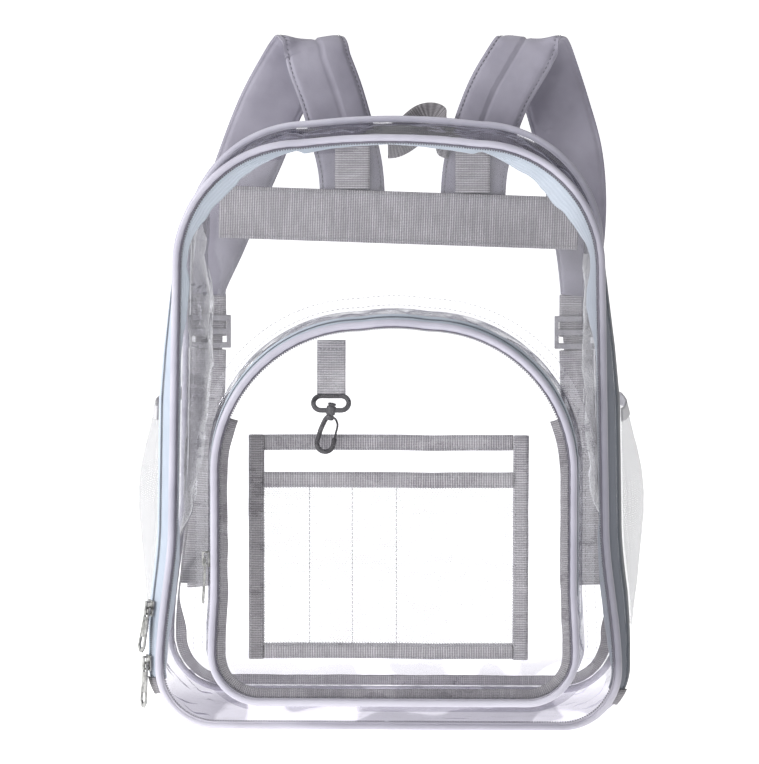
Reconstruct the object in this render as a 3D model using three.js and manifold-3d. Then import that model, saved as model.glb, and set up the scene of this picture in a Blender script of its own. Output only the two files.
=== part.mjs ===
// A clear stadium backpack, in millimetres. +Z is up, the front faces -Y and +X is the viewer's right.
// The origin is on the floor, under the middle of the bag's body.
import * as THREE from 'three';
import { mergeVertices } from 'three/addons/utils/BufferGeometryUtils.js';
import Module from 'manifold-3d';

const wasm = await Module();
wasm.setup();

// Clearances and stock
const gap = 0.3;
const film = 1;
const webbing = 1.6;
const binding = 1.2;
const meshCloth = 1.2;
const pipingDiameter = 4.4;

// Bag body. Half widths and heights are those of the front seam.
const bagDepth = 150;
const bodyShift = -3.7;
const footHalf = 160;
const footRadius = 38;
const waistHalf = 150.5;
const waistHeight = 150;
const shoulderHalf = 147;
const shoulderRadius = 85;
const crownHeight = 418;
const crownRise = 4;
const wallBulge = 14;
const crownBulge = 3;
const footBulge = pipingDiameter + 2 * gap;
const frontY = -bagDepth / 2;
const backY = bagDepth / 2;
const bindingRise = 0.5;
const bindingInset = 0.8;
const cornerBinding = 7;

// Main zip: heights of its two lower ends, and the width of one tape
const zipEndLeft = 36;
const zipEndRight = 30;
const zipTape = 10;
const coilWidth = 2.4;
const coilHeight = 2.2;
// The front tape and the coil lie on the skin's steep shoulder: depth each takes, as a share of its width
const tapeLean = 0.555;
const coilLean = 0.7;

// Front pocket, on the bag's front panel
const pocketShift = 1;
const pocketFootHalf = 125;
const pocketFootRadius = 32;
const pocketWaistHalf = 123;
const pocketWaist = 110;
const pocketShoulderRadius = 100;
const pocketFoot = 31;
const pocketCrown = 292;
const pocketCrownRise = 2;
const pocketDepthTop = 35;
const pocketDepthFoot = 50;
const pocketFlare = 5;
const pocketHem = 9;
const pocketZipTape = 7;
const pocketZipEndLeft = 124;
const pocketZipEndRight = 102;
const pocketSideStand = 10;
const pocketBindingTop = 228;
const seamBindingWidth = 7;

// Organiser, on the pocket's back wall
const organizerWidth = 197;
const organizerHeight = 159;
const organizerLeft = -102;
const organizerFoot = 52;
const organizerBand = 11;
const organizerSlot = 4.8;
const organizerMeshTop = 122;
const organizerStitches = [43, 73, 104];

// Key tab, ring and snap hook
const tabWidth = 20;
const tabLength = 37;
const tabX = -43.7;
const tabTop = 278;
const tabLean = 5;
const ringWidth = 28;
const ringHeight = 14;
const ringBar = 3.2;
const ringLean = 29;
const hookLength = 28;
const hookWidth = 15;
const hookBar = 3.4;
const hookThickness = 4;
const hookLean = 10;
const swivelRadius = 1.6;

// Back band, strips, straps and handle
const bandHeight = 38;
const bandLength = 260;
const bandCentre = 349;
const bandTilt = 1.8;
const stripWidth = 25;
const stripSpacing = 87;
const stripTop = 409;
const backDrift = 10;
const strapWidth = 47;
const strapThickness = 9;
const strapReach = 134;
const strapBack = 50;
const strapTop = 472;
const tabDrop = 12;
const lockWidth = 32;
const lockHeight = 24;
const lockThickness = 3.4;
const lockBar = 4;
const lowerWebWidth = 25;
const lowerWebFoot = 80;
const lowerWebReach = 142;
const lowerWebSlack = 16;
const tailWidth = 20;
const tailTurn = 45;
const tailSpread = 10;
const tailFootLeft = 71;
const tailFootRight = 108;
const handleWidth = 25;
const handleShift = 14;
const handleLean = 5;
const handleLength = 44;
const handleSeat = 404;
const handleStand = 15;
const handleRise = 8;
const handleTilt = 22;
const handleSkew = 1.25;

// Side mesh pockets
const sideFoot = 62;
const sideTop = 226;
const sideHem = 9;
const sideBulge = 13;
const sideHemBulge = 7;

// Zip sliders and their pulls
const sliderLength = 11;
const sliderWidth = 8;
const sliderPlate = 1.6;
const bridgeWidth = 2.4;
const bridgeBar = 1.2;
const pullLength = 32;
const pullWidth = 9;
const pullThickness = 1.4;
const pullEye = 6.5;
const pullRail = 1.5;
const pullRest = 3;
const upperPullZ = 84;
const lowerPullZ = 46;
const pocketPullZ = 128;
const endTabLength = 9;

const film2 = film / 2;
const radians = THREE.MathUtils.degToRad;
const lerp = THREE.MathUtils.lerp;

function finish(name, colour, roughness, metalness, opacity = 1) {
  const transparent = opacity < 1;
  return new THREE.MeshStandardMaterial({ name, color: colour, roughness, metalness, opacity, transparent });
}

const clear = () => finish('clear_film', 0xe8ebee, 0.12, 0, 0.25);
const trim = () => finish('piping', 0xb9b7c6, 0.45, 0);
const tape = () => finish('zip_tape', 0xcdd7e4, 0.85, 0);
const teeth = () => finish('zip_coil', 0x8f98a4, 0.5, 0);
const ribbed = () => finish('binding', 0x969296, 0.9, 0);
const woven = () => finish('webbing', 0xa5a0a5, 0.9, 0);
const padding = () => finish('strap_cloth', 0x96939e, 0.85, 0);
const net = () => finish('mesh_cloth', 0xf0f0f0, 0.9, 0, 0.6);
const plastic = () => finish('dark_plastic', 0x3c3a3e, 0.45, 0);
const nickel = () => finish('nickel', 0x8c8c8a, 0.35, 1);

const group = new THREE.Group();

function add(name, geometry, material, matrix) {
  const mesh = new THREE.Mesh(geometry, material);
  mesh.name = name;
  if (matrix) mesh.applyMatrix4(matrix);
  group.add(mesh);
  return mesh;
}

// A closed mesh from points and triangles, turned so that its faces point out
function closedMesh(points, triangles) {
  const a = new THREE.Vector3();
  const b = new THREE.Vector3();
  let volume = 0;
  for (const [i, j, k] of triangles) {
    volume += a.crossVectors(points[i], points[j]).dot(b.copy(points[k]));
  }
  const faces = volume < 0 ? triangles.map(([i, j, k]) => [i, k, j]) : triangles;
  const geometry = new THREE.BufferGeometry();
  geometry.setAttribute('position', new THREE.Float32BufferAttribute(points.flatMap((p) => p.toArray()), 3));
  geometry.setIndex(faces.flat());
  geometry.computeVertexNormals();
  return geometry;
}

// Joins rings of points into a closed solid: a hoop, or a bar whose two ends are capped
function loft(rings, hoop, flatSection) {
  const count = rings[0].length;
  const points = rings.flat();
  const triangles = [];
  const steps = hoop ? rings.length : rings.length - 1;
  for (let i = 0; i < steps; i += 1) {
    const here = i * count;
    const next = ((i + 1) % rings.length) * count;
    for (let j = 0; j < count; j += 1) {
      const k = (j + 1) % count;
      triangles.push([here + j, here + k, next + k], [here + j, next + k, next + j]);
    }
  }
  if (!hoop) {
    const last = (rings.length - 1) * count;
    const caps = THREE.ShapeUtils.triangulateShape(flatSection, []);
    const turned = THREE.ShapeUtils.isClockWise(flatSection);
    for (const [i, j, k] of caps) {
      const [u, v] = turned ? [j, k] : [k, j];
      triangles.push([i, u, v], [last + i, last + v, last + u]);
    }
  }
  return closedMesh(points, triangles);
}

// The outline of a panel with round corners, a flared foot and a low crown, as stations with normals.
// It starts at the middle of the foot and runs up the right side, over the crown and down the left side.
function outline(size, shiftX = 0) {
  const half = [];
  const put = (x, z, nx, nz) => half.push({ x, z, nx, nz });
  const footX = size.footHalf - size.footRadius;
  const footZ = size.foot + size.footRadius;
  const shoulderHalfWidth = size.shoulderHalf ?? size.waistHalf;
  const shoulderX = shoulderHalfWidth - size.shoulderRadius;
  const shoulderZ = size.crown - size.crownRise - size.shoulderRadius;
  const cornerSteps = 5;
  const sideSteps = 4;
  const crownSteps = 3;
  put(0, size.foot, 0, -1);
  put(footX / 2, size.foot, 0, -1);
  for (let i = 0; i <= cornerSteps; i += 1) {
    const angle = (i / cornerSteps - 1) * Math.PI / 2;
    const c = Math.cos(angle);
    const s = Math.sin(angle);
    put(footX + size.footRadius * c, footZ + size.footRadius * s, c, s);
  }
  for (let i = 1; i <= sideSteps; i += 1) {
    const t = i / sideSteps;
    const flare = size.footHalf - size.waistHalf;
    const slope = -flare * 6 * t * (1 - t) / (size.waist - footZ);
    const length = Math.hypot(1, slope);
    put(size.footHalf - flare * t * t * (3 - 2 * t), lerp(footZ, size.waist, t), 1 / length, -slope / length);
  }
  for (let i = 1; i < sideSteps; i += 1) {
    const t = i / sideSteps;
    put(lerp(size.waistHalf, shoulderHalfWidth, t), lerp(size.waist, shoulderZ, t), 1, 0);
  }
  for (let i = 0; i <= cornerSteps; i += 1) {
    const angle = i / cornerSteps * Math.PI / 2;
    const c = Math.cos(angle);
    const s = Math.sin(angle);
    put(shoulderX + size.shoulderRadius * c, shoulderZ + size.shoulderRadius * s, c, s);
  }
  for (let i = 1; i < crownSteps; i += 1) {
    const share = 1 - i / crownSteps;
    const slope = 2 * size.crownRise * share / Math.max(shoulderX, 1);
    const length = Math.hypot(1, slope);
    put(shoulderX * share, size.crown - size.crownRise * share * share, slope / length, 1 / length);
  }
  put(0, size.crown, 0, 1);
  const mirrored = half.slice(1, -1).reverse().map((p) => ({ ...p, x: -p.x, nx: -p.nx }));
  const loop = [...half, ...mirrored].map((p) => ({ ...p, x: p.x + shiftX }));
  let along = 0;
  loop.forEach((p, i) => {
    if (i > 0) along += Math.hypot(p.x - loop[i - 1].x, p.z - loop[i - 1].z);
    p.s = along;
  });
  const end = loop[loop.length - 1];
  loop.total = along + Math.hypot(loop[0].x - end.x, loop[0].z - end.z);
  return loop;
}

// The place on a loop at a length along it, which may run past the loop's end
function stationAt(loop, length) {
  const s = ((length % loop.total) + loop.total) % loop.total;
  const next = loop.findIndex((p) => p.s > s);
  const b = next < 0 ? { ...loop[0], s: loop.total } : loop[next];
  const a = next < 0 ? loop[loop.length - 1] : loop[next - 1];
  const t = (s - a.s) / (b.s - a.s);
  const mix = (key) => lerp(a[key], b[key], t);
  return { x: mix('x'), z: mix('z'), nx: mix('nx'), nz: mix('nz'), s };
}

// The stretch of a loop between two lengths, with stations at both ends
function stretch(loop, from, to) {
  const inner = [];
  for (const lap of [-1, 0, 1]) {
    for (const p of loop) {
      const s = p.s + lap * loop.total;
      if (s > from + gap && s < to - gap) inner.push({ ...p, at: s });
    }
  }
  inner.sort((p, q) => p.at - q.at);
  return [stationAt(loop, from), ...inner, stationAt(loop, to)];
}

// The length along a loop at which its right side reaches a height
function lengthAtHeight(loop, height) {
  const next = loop.findIndex((p) => p.z > height);
  const a = loop[next - 1];
  const b = loop[next];
  return lerp(a.s, b.s, (height - a.z) / (b.z - a.z));
}

// Carries a flat section of [outward, y] points round a loop or along a stretch of it
function sweep(stations, hoop, section) {
  const rings = stations.map((p) => section(p).map(([out, y]) => (
    new THREE.Vector3(p.x + p.nx * out, y, p.z + p.nz * out))));
  const flat = section(stations[0]).map(([out, y]) => new THREE.Vector2(out, y));
  return loft(rings, hoop, flat);
}

function bead(out, y, diameter) {
  const sides = 6;
  return Array.from({ length: sides }, (_, i) => {
    const angle = 2 * Math.PI * i / sides;
    return [out + diameter / 2 * Math.cos(angle), y + diameter / 2 * Math.sin(angle)];
  });
}

// A flat panel inside a loop, between two surfaces given as y at a height
function panel(loop, nearY, farY) {
  const flat = loop.map((p) => new THREE.Vector2(p.x, p.z));
  const count = flat.length;
  const points = [
    ...flat.map((p) => new THREE.Vector3(p.x, nearY(p.y), p.y)),
    ...flat.map((p) => new THREE.Vector3(p.x, farY(p.y), p.y)),
  ];
  const triangles = [];
  for (const [i, j, k] of THREE.ShapeUtils.triangulateShape(flat, [])) {
    triangles.push([i, j, k], [count + i, count + k, count + j]);
  }
  for (let i = 0; i < count; i += 1) {
    const j = (i + 1) % count;
    triangles.push([i, count + i, count + j], [i, count + j, j]);
  }
  return closedMesh(points, triangles);
}

function box(sizeX, sizeY, sizeZ, x, y, z) {
  return new THREE.BoxGeometry(sizeX, sizeY, sizeZ).translate(x, y, z);
}

// A ribbon through frames that hold a centre, a width direction and sizes, with a section given as shares
function ribbon(frames, section) {
  const rings = frames.map((f, i) => {
    const ahead = frames[Math.min(i + 1, frames.length - 1)].centre;
    const behind = frames[Math.max(i - 1, 0)].centre;
    const along = ahead.clone().sub(behind).normalize();
    const across = f.across.clone().addScaledVector(along, -f.across.dot(along)).normalize();
    const face = along.clone().cross(across);
    return section.map(([u, v]) => f.centre.clone()
      .addScaledVector(across, u * f.width).addScaledVector(face, v * f.thickness));
  });
  return loft(rings, false, section.map(([u, v]) => new THREE.Vector2(u, v)));
}

const flatSection = [[-0.5, -0.5], [0.5, -0.5], [0.5, 0.5], [-0.5, 0.5]];

// A wall with a shape of its own on each side, over a grid of shares u and v
function shell(columns, rows, outer, inner) {
  const points = [];
  const triangles = [];
  for (const side of [outer, inner]) {
    for (const v of rows) for (const u of columns) points.push(side(u, v));
  }
  const wide = columns.length;
  const back = wide * rows.length;
  const at = (i, j) => j * wide + i;
  for (let j = 0; j < rows.length - 1; j += 1) {
    for (let i = 0; i < wide - 1; i += 1) {
      const [a, b, c, d] = [at(i, j), at(i + 1, j), at(i + 1, j + 1), at(i, j + 1)];
      triangles.push([a, b, c], [a, c, d], [back + a, back + c, back + b], [back + a, back + d, back + c]);
    }
  }
  const rim = [];
  for (let i = 0; i < wide - 1; i += 1) rim.push(at(i, 0));
  for (let j = 0; j < rows.length - 1; j += 1) rim.push(at(wide - 1, j));
  for (let i = wide - 1; i > 0; i -= 1) rim.push(at(i, rows.length - 1));
  for (let j = rows.length - 1; j > 0; j -= 1) rim.push(at(0, j));
  rim.forEach((p, i) => {
    const q = rim[(i + 1) % rim.length];
    triangles.push([p, back + p, back + q], [p, back + q, q]);
  });
  return closedMesh(points, triangles);
}

// Solids for joins and cuts
function solid(geometry) {
  const bare = geometry.clone();
  bare.deleteAttribute('normal');
  bare.deleteAttribute('uv');
  const merged = mergeVertices(bare, 1e-4);
  const vertProperties = new Float32Array(merged.attributes.position.array);
  const triVerts = new Uint32Array(merged.index.array);
  return new wasm.Manifold(new wasm.Mesh({ numProp: 3, vertProperties, triVerts }));
}

function fromSolid(manifold) {
  const mesh = manifold.getMesh();
  const geometry = new THREE.BufferGeometry();
  geometry.setAttribute('position', new THREE.Float32BufferAttribute(mesh.vertProperties, 3));
  geometry.setIndex(Array.from(mesh.triVerts));
  geometry.computeVertexNormals();
  return geometry;
}

// How far the bag's skin stands out behind the front seam: shares of the bulge at shares of the depth
const seamShare = (pipingDiameter / 2 + gap) / bagDepth;
const skinTable = [
  { depth: seamShare, wall: 0.03, floor: 0.03 },
  { depth: 1.32 * seamShare, wall: 0.3, floor: 0.2 },
  { depth: 0.055, wall: 0.72, floor: 0.55 },
  { depth: 0.08, wall: 0.9, floor: 0.75 },
  { depth: 0.15, wall: 1, floor: 1 },
  { depth: 0.5, wall: 1, floor: 1 },
  { depth: 0.78, wall: 0.82, floor: 1 },
  { depth: 0.9, wall: 0.5, floor: 0.8 },
  { depth: 1 - seamShare, wall: 0.03, floor: 0.03 },
];
// The shares of the depth at which the gusset's wall bends, behind the zip
const gussetBends = [0.2, 0.5, 0.78, 0.9, 1 - seamShare];

// The share of the side bulge at heights: the walls stand out most at the waist and lean in to the crown
const bulgeTable = [
  { height: 0, share: 0.78 },
  { height: 50, share: 0.8 },
  { height: 95, share: 1 },
  { height: 235, share: 1 },
  { height: 271, share: 0.8 },
  { height: 307, share: 0.52 },
  { height: 343, share: 0.25 },
  { height: 379, share: 0.2 },
  { height: 430, share: 0.2 },
];

function bulgeShare(height) {
  const next = Math.max(1, bulgeTable.findIndex((row) => row.height >= height));
  const a = bulgeTable[next - 1];
  const b = bulgeTable[next];
  return lerp(a.share, b.share, (height - a.height) / (b.height - a.height));
}

function skinOut(p, share) {
  const next = Math.max(1, skinTable.findIndex((row) => row.depth >= share));
  const a = skinTable[next - 1];
  const b = skinTable[next];
  const t = (share - a.depth) / (b.depth - a.depth);
  const up = p.nz > 0 ? crownBulge * lerp(a.wall, b.wall, t) : footBulge * lerp(a.floor, b.floor, t);
  return wallBulge * bulgeShare(p.z) * p.nx * p.nx * lerp(a.wall, b.wall, t) + up * p.nz * p.nz;
}

// A point over a line of out against y, by its height along the line's outward normal
function above(outAt, y, height) {
  const step = 0.5;
  const slope = (outAt(y + step) - outAt(y - step)) / (2 * step);
  const length = Math.hypot(1, slope);
  return [outAt(y) + height / length, y - height * slope / length];
}

// A wall of the bag's skin between shares of the depth, from a height down through its thickness
function skinWall(p, shares, thickness, height = 0) {
  const first = skinTable[0].depth;
  const last = skinTable[skinTable.length - 1].depth;
  const outAt = (y) => skinOut(p, THREE.MathUtils.clamp((y - frontY) / bagDepth, first, last));
  const line = (level) => shares.map((d) => above(outAt, frontY + bagDepth * d, level));
  return [...line(height), ...line(height - thickness).reverse()];
}

// The bag's body: two panels, a gusset round them, and piping on both seams
const body = outline({
  foot: footBulge, footHalf, footRadius, waistHalf, waist: waistHeight, shoulderRadius,
  shoulderHalf, crown: crownHeight, crownRise,
}, bodyShift);
const zipStart = lengthAtHeight(body, zipEndRight);
const zipStop = body.total - lengthAtHeight(body, zipEndLeft);
const tapeStart = 1.08 * seamShare;
const tapeEnd = tapeStart + tapeLean * zipTape / bagDepth;
const coilStart = tapeEnd + gap / bagDepth;
const coilEnd = coilStart + coilLean * coilWidth / bagDepth;
const rearStart = coilEnd + gap / bagDepth;
const rearEnd = rearStart + zipTape / bagDepth;
const filmStart = rearEnd + gap / bagDepth;

function addBody() {
  const beadOut = gap + pipingDiameter / 2;
  add('front_panel', panel(body, () => frontY - film2, () => frontY + film2), clear());
  add('back_panel', panel(body, () => backY - film2, () => backY + film2), clear());
  add('front_piping', sweep(body, true, () => bead(beadOut, frontY, pipingDiameter)), trim());
  add('back_piping', sweep(body, true, () => bead(beadOut, backY, pipingDiameter)), trim());

  const zipped = stretch(body, zipStart, zipStop);
  add('zip_front_tape', sweep(zipped, false, (p) => (
    skinWall(p, [tapeStart, skinTable[1].depth, tapeEnd], film))), tape());
  add('zip_coil', sweep(zipped, false, (p) => (
    skinWall(p, [coilStart, coilEnd], coilHeight, (coilHeight - film) / 2))), teeth());
  add('zip_rear_tape', sweep(zipped, false, (p) => (
    skinWall(p, [rearStart, lerp(rearStart, rearEnd, 0.4), rearEnd], film))), tape());

  // The clear gusset runs to the front seam under the zip's two ends
  const low = stretch(body, zipStop + gap, body.total + zipStart - gap).map((p) => ({ ...p, open: false }));
  const high = stretch(body, zipStart, zipStop).map((p) => ({ ...p, open: true }));
  add('gusset', sweep([...high, ...low], true, (p) => {
    const start = p.open ? filmStart : tapeStart;
    return skinWall(p, [start, lerp(start, gussetBends[0], 0.35), ...gussetBends], film);
  }), clear());

  // Bound seam allowances inside the two seams
  add('front_seam_binding', sweep(zipped, false, (p) => {
    const near = frontY + film2 + gap;
    const reach = seamBindingWidth + cornerBinding * Math.max(0, 2 * Math.abs(p.nx) * p.nz);
    const far = near + bindingRise * reach;
    return [[-bindingInset, near], [-reach, far], [-reach, far + binding], [-bindingInset, near + binding]];
  }), tape());
  add('back_seam_binding', sweep(body, true, () => {
    const near = backY - film2 - gap;
    const reach = seamBindingWidth + 2;
    const far = near - bindingRise * reach;
    return [[-bindingInset, near], [-reach, far], [-reach, far - binding], [-bindingInset, near - binding]];
  }), ribbed());
}

// The front pocket: a panel that leans, its gusset, zip, piping and inner binding
const pocket = outline({
  foot: pocketFoot, footHalf: pocketFootHalf, footRadius: pocketFootRadius, waistHalf: pocketWaistHalf,
  waist: pocketWaist, shoulderRadius: pocketShoulderRadius, crown: pocketCrown, crownRise: pocketCrownRise,
}, pocketShift);
const wallY = frontY - film2 - gap;
const pocketY = (z) => wallY - lerp(pocketDepthFoot, pocketDepthTop, (z - pocketFoot) / (pocketCrown - pocketFoot));

const coilFrom = pipingDiameter / 2 + gap + pocketZipTape + gap;
const coilTo = coilFrom + coilWidth;
// The pocket's side stands out to the piping's edge behind its front seam, and flares towards its foot
const sideAt = (p) => (y) => {
  const behind = y - pocketY(p.z);
  const share = behind / (wallY - pocketY(p.z));
  const stand = 0.8 * (pipingDiameter - film) * Math.min(1, behind / pocketSideStand);
  return film + stand + share * pocketFlare;
};
const pocketSide = (p, behind, height = 0) => above(sideAt(p), pocketY(p.z) + behind, height);
const sideWall = (p, stops, thickness, height = 0) => (
  [...stops.map((b) => pocketSide(p, b, height)), ...stops.map((b) => pocketSide(p, b, height - thickness)).reverse()]);
const pocketCoil = (p, height) => pocketSide(p, (coilFrom + coilTo) / 2, height);

function addPocket() {
  const beadOut = gap + pipingDiameter / 2;
  const zipFrom = lengthAtHeight(pocket, pocketZipEndRight);
  const zipTo = pocket.total - lengthAtHeight(pocket, pocketZipEndLeft);
  const zipped = stretch(pocket, zipFrom, zipTo);
  const start = pipingDiameter / 2 + gap;
  const rearTo = coilTo + gap + pocketZipTape;
  add('pocket_panel', panel(pocket, (z) => pocketY(z) - film2, (z) => pocketY(z) + film2), clear());
  add('pocket_piping', sweep(pocket, true, (p) => bead(beadOut, pocketY(p.z), pipingDiameter)), trim());
  add('pocket_zip_front_tape', sweep(zipped, false, (p) => (
    sideWall(p, [start, start + pocketZipTape], film))), tape());
  add('pocket_zip_coil', sweep(zipped, false, (p) => (
    sideWall(p, [coilFrom, coilTo], coilHeight, (coilHeight - film) / 2))), teeth());
  add('pocket_zip_rear_tape', sweep(zipped, false, (p) => (
    sideWall(p, [coilTo + gap, rearTo], film))), tape());

  const low = stretch(pocket, zipTo + gap, pocket.total + zipFrom - gap).map((p) => ({ ...p, open: false }));
  const high = stretch(pocket, zipFrom, zipTo).map((p) => ({ ...p, open: true }));
  add('pocket_gusset', sweep([...high, ...low], true, (p) => {
    const first = pocketSide(p, p.open ? rearTo + gap : start);
    const base = pocketSide(p, wallY - pocketY(p.z) - film);
    const mid = [lerp(first[0], base[0], 0.5), lerp(first[1], base[1], 0.5)];
    return [first, mid, base, [base[0] + pocketHem, wallY - film], [base[0] + pocketHem, wallY],
      [base[0] - film, wallY], [mid[0] - film, mid[1]], [first[0] - film, first[1]]];
  }), clear());

  const bindFrom = pocket.total - lengthAtHeight(pocket, pocketBindingTop);
  const bindTo = pocket.total + lengthAtHeight(pocket, pocketBindingTop);
  add('pocket_seam_binding', sweep(stretch(pocket, bindFrom, bindTo), false, (p) => {
    const near = pocketY(p.z) + film2 + gap;
    const far = near + 2;
    return [[-bindingInset, near], [-seamBindingWidth, far], [-seamBindingWidth, far + binding],
      [-bindingInset, near + binding]];
  }), ribbed());
}

// The organiser: a backing, a mesh wall with stitched dividers, and bound edges
function addOrganizer() {
  const right = organizerLeft + organizerWidth;
  const top = organizerFoot + organizerHeight;
  const backingY = wallY - film2;
  const meshY = backingY - film2 - organizerSlot - meshCloth / 2;
  const middleX = (organizerLeft + right) / 2;
  const innerWidth = organizerWidth - 2 * organizerBand;
  const innerFoot = organizerFoot + organizerBand;
  const sideDepth = film + organizerSlot + meshCloth;
  const sideY = wallY - sideDepth / 2;
  add('organizer_backing', box(innerWidth - 2 * gap, film, organizerHeight - 2 * organizerBand - 2 * gap,
    middleX, backingY, (organizerFoot + top) / 2), clear());
  add('organizer_top_band', box(innerWidth - 2 * gap, film + binding, organizerBand, middleX,
    wallY - (film + binding) / 2, top - organizerBand / 2), woven());
  add('organizer_foot_band', box(innerWidth - 2 * gap, sideDepth, organizerBand, middleX,
    sideY, organizerFoot + organizerBand / 2), woven());
  add('organizer_left_band', box(organizerBand, sideDepth, organizerHeight, organizerLeft + organizerBand / 2,
    sideY, (organizerFoot + top) / 2), woven());
  add('organizer_right_band', box(organizerBand, sideDepth, organizerHeight, right - organizerBand / 2,
    sideY, (organizerFoot + top) / 2), woven());
  const meshHeight = organizerMeshTop - organizerBand - 2 * gap;
  let meshWall = solid(box(innerWidth - 2 * gap, meshCloth, meshHeight, middleX, meshY,
    innerFoot + gap + meshHeight / 2));
  const dividerDepth = organizerSlot - gap;
  for (const stitch of organizerStitches) {
    meshWall = meshWall.add(solid(box(meshCloth, dividerDepth + meshCloth / 2, meshHeight,
      organizerLeft + stitch, meshY + (dividerDepth + meshCloth / 2) / 2, innerFoot + gap + meshHeight / 2)));
  }
  add('organizer_mesh', fromSolid(meshWall), net());
  add('organizer_mesh_band', box(innerWidth - 2 * gap, meshCloth + binding, organizerBand, middleX,
    meshY - binding / 2, organizerFoot + organizerMeshTop + gap + organizerBand / 2), woven());
}

// The key tab, with an oval ring and a snap hook that swivels in the ring's boss
function addKeyHook() {
  const tabFoot = tabTop - tabLength;
  const tabThickness = 2 * webbing;
  const tabY = wallY - tabThickness / 2;
  const lean = tabLength * Math.tan(radians(tabLean));
  const down = new THREE.Vector3(1, 0, 0);
  const stop = (share) => ({
    centre: new THREE.Vector3(tabX, tabY - lean * share * share, lerp(tabTop, tabFoot, share)),
    across: down, width: tabWidth, thickness: tabThickness,
  });
  add('key_tab', ribbon([0, 0.25, 0.5, 0.75, 1].map(stop), flatSection), woven());

  // The ring's own frame: its top bar's centre is the origin, and it hangs down -Z
  const ring = new THREE.Shape();
  const reach = ringWidth / 2 - ringHeight / 2;
  ring.absarc(reach, 0, ringHeight / 2, -Math.PI / 2, Math.PI / 2);
  ring.absarc(-reach, 0, ringHeight / 2, Math.PI / 2, 1.5 * Math.PI);
  const hole = new THREE.Path();
  hole.absarc(reach, 0, ringHeight / 2 - ringBar, -Math.PI / 2, Math.PI / 2);
  hole.absarc(-reach, 0, ringHeight / 2 - ringBar, Math.PI / 2, 1.5 * Math.PI);
  ring.holes.push(hole);
  const stand = (geometry) => geometry.rotateX(Math.PI / 2);
  const upright = (radius, height) => new THREE.CylinderGeometry(radius, radius, height, 12).rotateX(Math.PI / 2);
  const plate = stand(new THREE.ExtrudeGeometry(ring, { depth: ringBar, bevelEnabled: false, curveSegments: 8 }))
    .translate(0, ringBar / 2, -ringHeight / 2);
  const ringPlace = new THREE.Matrix4()
    .makeTranslation(tabX, tabY - lean - tabThickness / 3, tabFoot - gap)
    .multiply(new THREE.Matrix4().makeRotationX(radians(-ringLean)));
  const pivot = new THREE.Vector3(0, 0, -ringHeight + ringBar / 2).applyMatrix4(ringPlace);
  const hookPlace = new THREE.Matrix4().makeTranslation(pivot.x, pivot.y, pivot.z)
    .multiply(new THREE.Matrix4().makeRotationY(radians(hookLean)));
  const bossHeight = ringBar + 3;
  const boss = box(4 * swivelRadius, 4 * swivelRadius, bossHeight, 0, 0, 0).applyMatrix4(hookPlace);
  const bore = upright(swivelRadius + gap, 3 * bossHeight).applyMatrix4(hookPlace);
  const knobRoom = upright(2 * swivelRadius + gap, bossHeight)
    .translate(0, 0, bossHeight).applyMatrix4(hookPlace);
  const ringSolid = solid(plate.applyMatrix4(ringPlace)).subtract(solid(knobRoom))
    .add(solid(boss)).subtract(solid(bore));
  add('hook_ring', fromSolid(ringSolid), plastic());

  // The hook's own frame: the swivel's middle is the origin, and the hook hangs down -Z
  const shoulderZ = -bossHeight / 2 - gap;
  const outer = hookWidth / 2;
  const inner = outer - hookBar;
  const bowlZ = shoulderZ - hookLength + outer;
  const noseZ = bowlZ + 5;
  const gate = 0.9;
  const profile = new THREE.Shape();
  profile.moveTo(-outer * 0.6, shoulderZ);
  profile.lineTo(-outer, bowlZ);
  profile.absarc(0, bowlZ, outer, Math.PI, 2 * Math.PI);
  profile.lineTo(outer, noseZ);
  profile.lineTo(inner, noseZ);
  profile.lineTo(inner, bowlZ);
  profile.absarc(0, bowlZ, inner, 0, Math.PI, true);
  profile.lineTo(-outer * 0.6 + hookBar, shoulderZ - hookBar);
  profile.lineTo(outer - gate, shoulderZ - hookBar);
  profile.lineTo(outer, noseZ + hookBar);
  profile.lineTo(inner + gate / 2, noseZ + gap);
  profile.lineTo(inner + 2 * gate, noseZ + gap);
  profile.lineTo(outer + gate, noseZ + hookBar);
  profile.lineTo(outer + gate / 2, shoulderZ - hookBar * 0.8);
  profile.lineTo(outer * 0.7, shoulderZ);
  const blade = stand(new THREE.ExtrudeGeometry(profile, {
    depth: hookThickness, bevelEnabled: false, curveSegments: 8,
  })).translate(0, hookThickness / 2, 0);
  const knobZ = bossHeight / 2 + gap;
  const post = upright(swivelRadius, knobZ - shoulderZ + 1).translate(0, 0, (knobZ + shoulderZ) / 2);
  const knob = upright(2 * swivelRadius, swivelRadius).translate(0, 0, knobZ + swivelRadius / 2);
  const hookSolid = solid(blade).add(solid(post)).add(solid(knob));
  add('snap_hook', fromSolid(hookSolid), plastic(), hookPlace);
}

// The band and strips sewn inside the back panel
const bandY = backY - film2 - gap - webbing / 2;

function addBackWebbing() {
  const tilt = new THREE.Matrix4().makeTranslation(0, bandY, bandCentre)
    .multiply(new THREE.Matrix4().makeRotationY(radians(bandTilt)));
  add('back_band', box(bandLength, webbing, bandHeight, 0, 0, 0), woven(), tilt);
  for (const [name, side] of [['left', -1], ['right', 1]]) {
    const x = backDrift + side * stripSpacing / 2;
    const foot = bandCentre + bandHeight / 2 + gap - (x - stripWidth / 2) * Math.tan(radians(bandTilt)) + gap;
    add(`back_strip_${name}`, box(stripWidth, webbing, stripTop - foot, x, bandY, (stripTop + foot) / 2), woven());
  }
}

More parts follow.
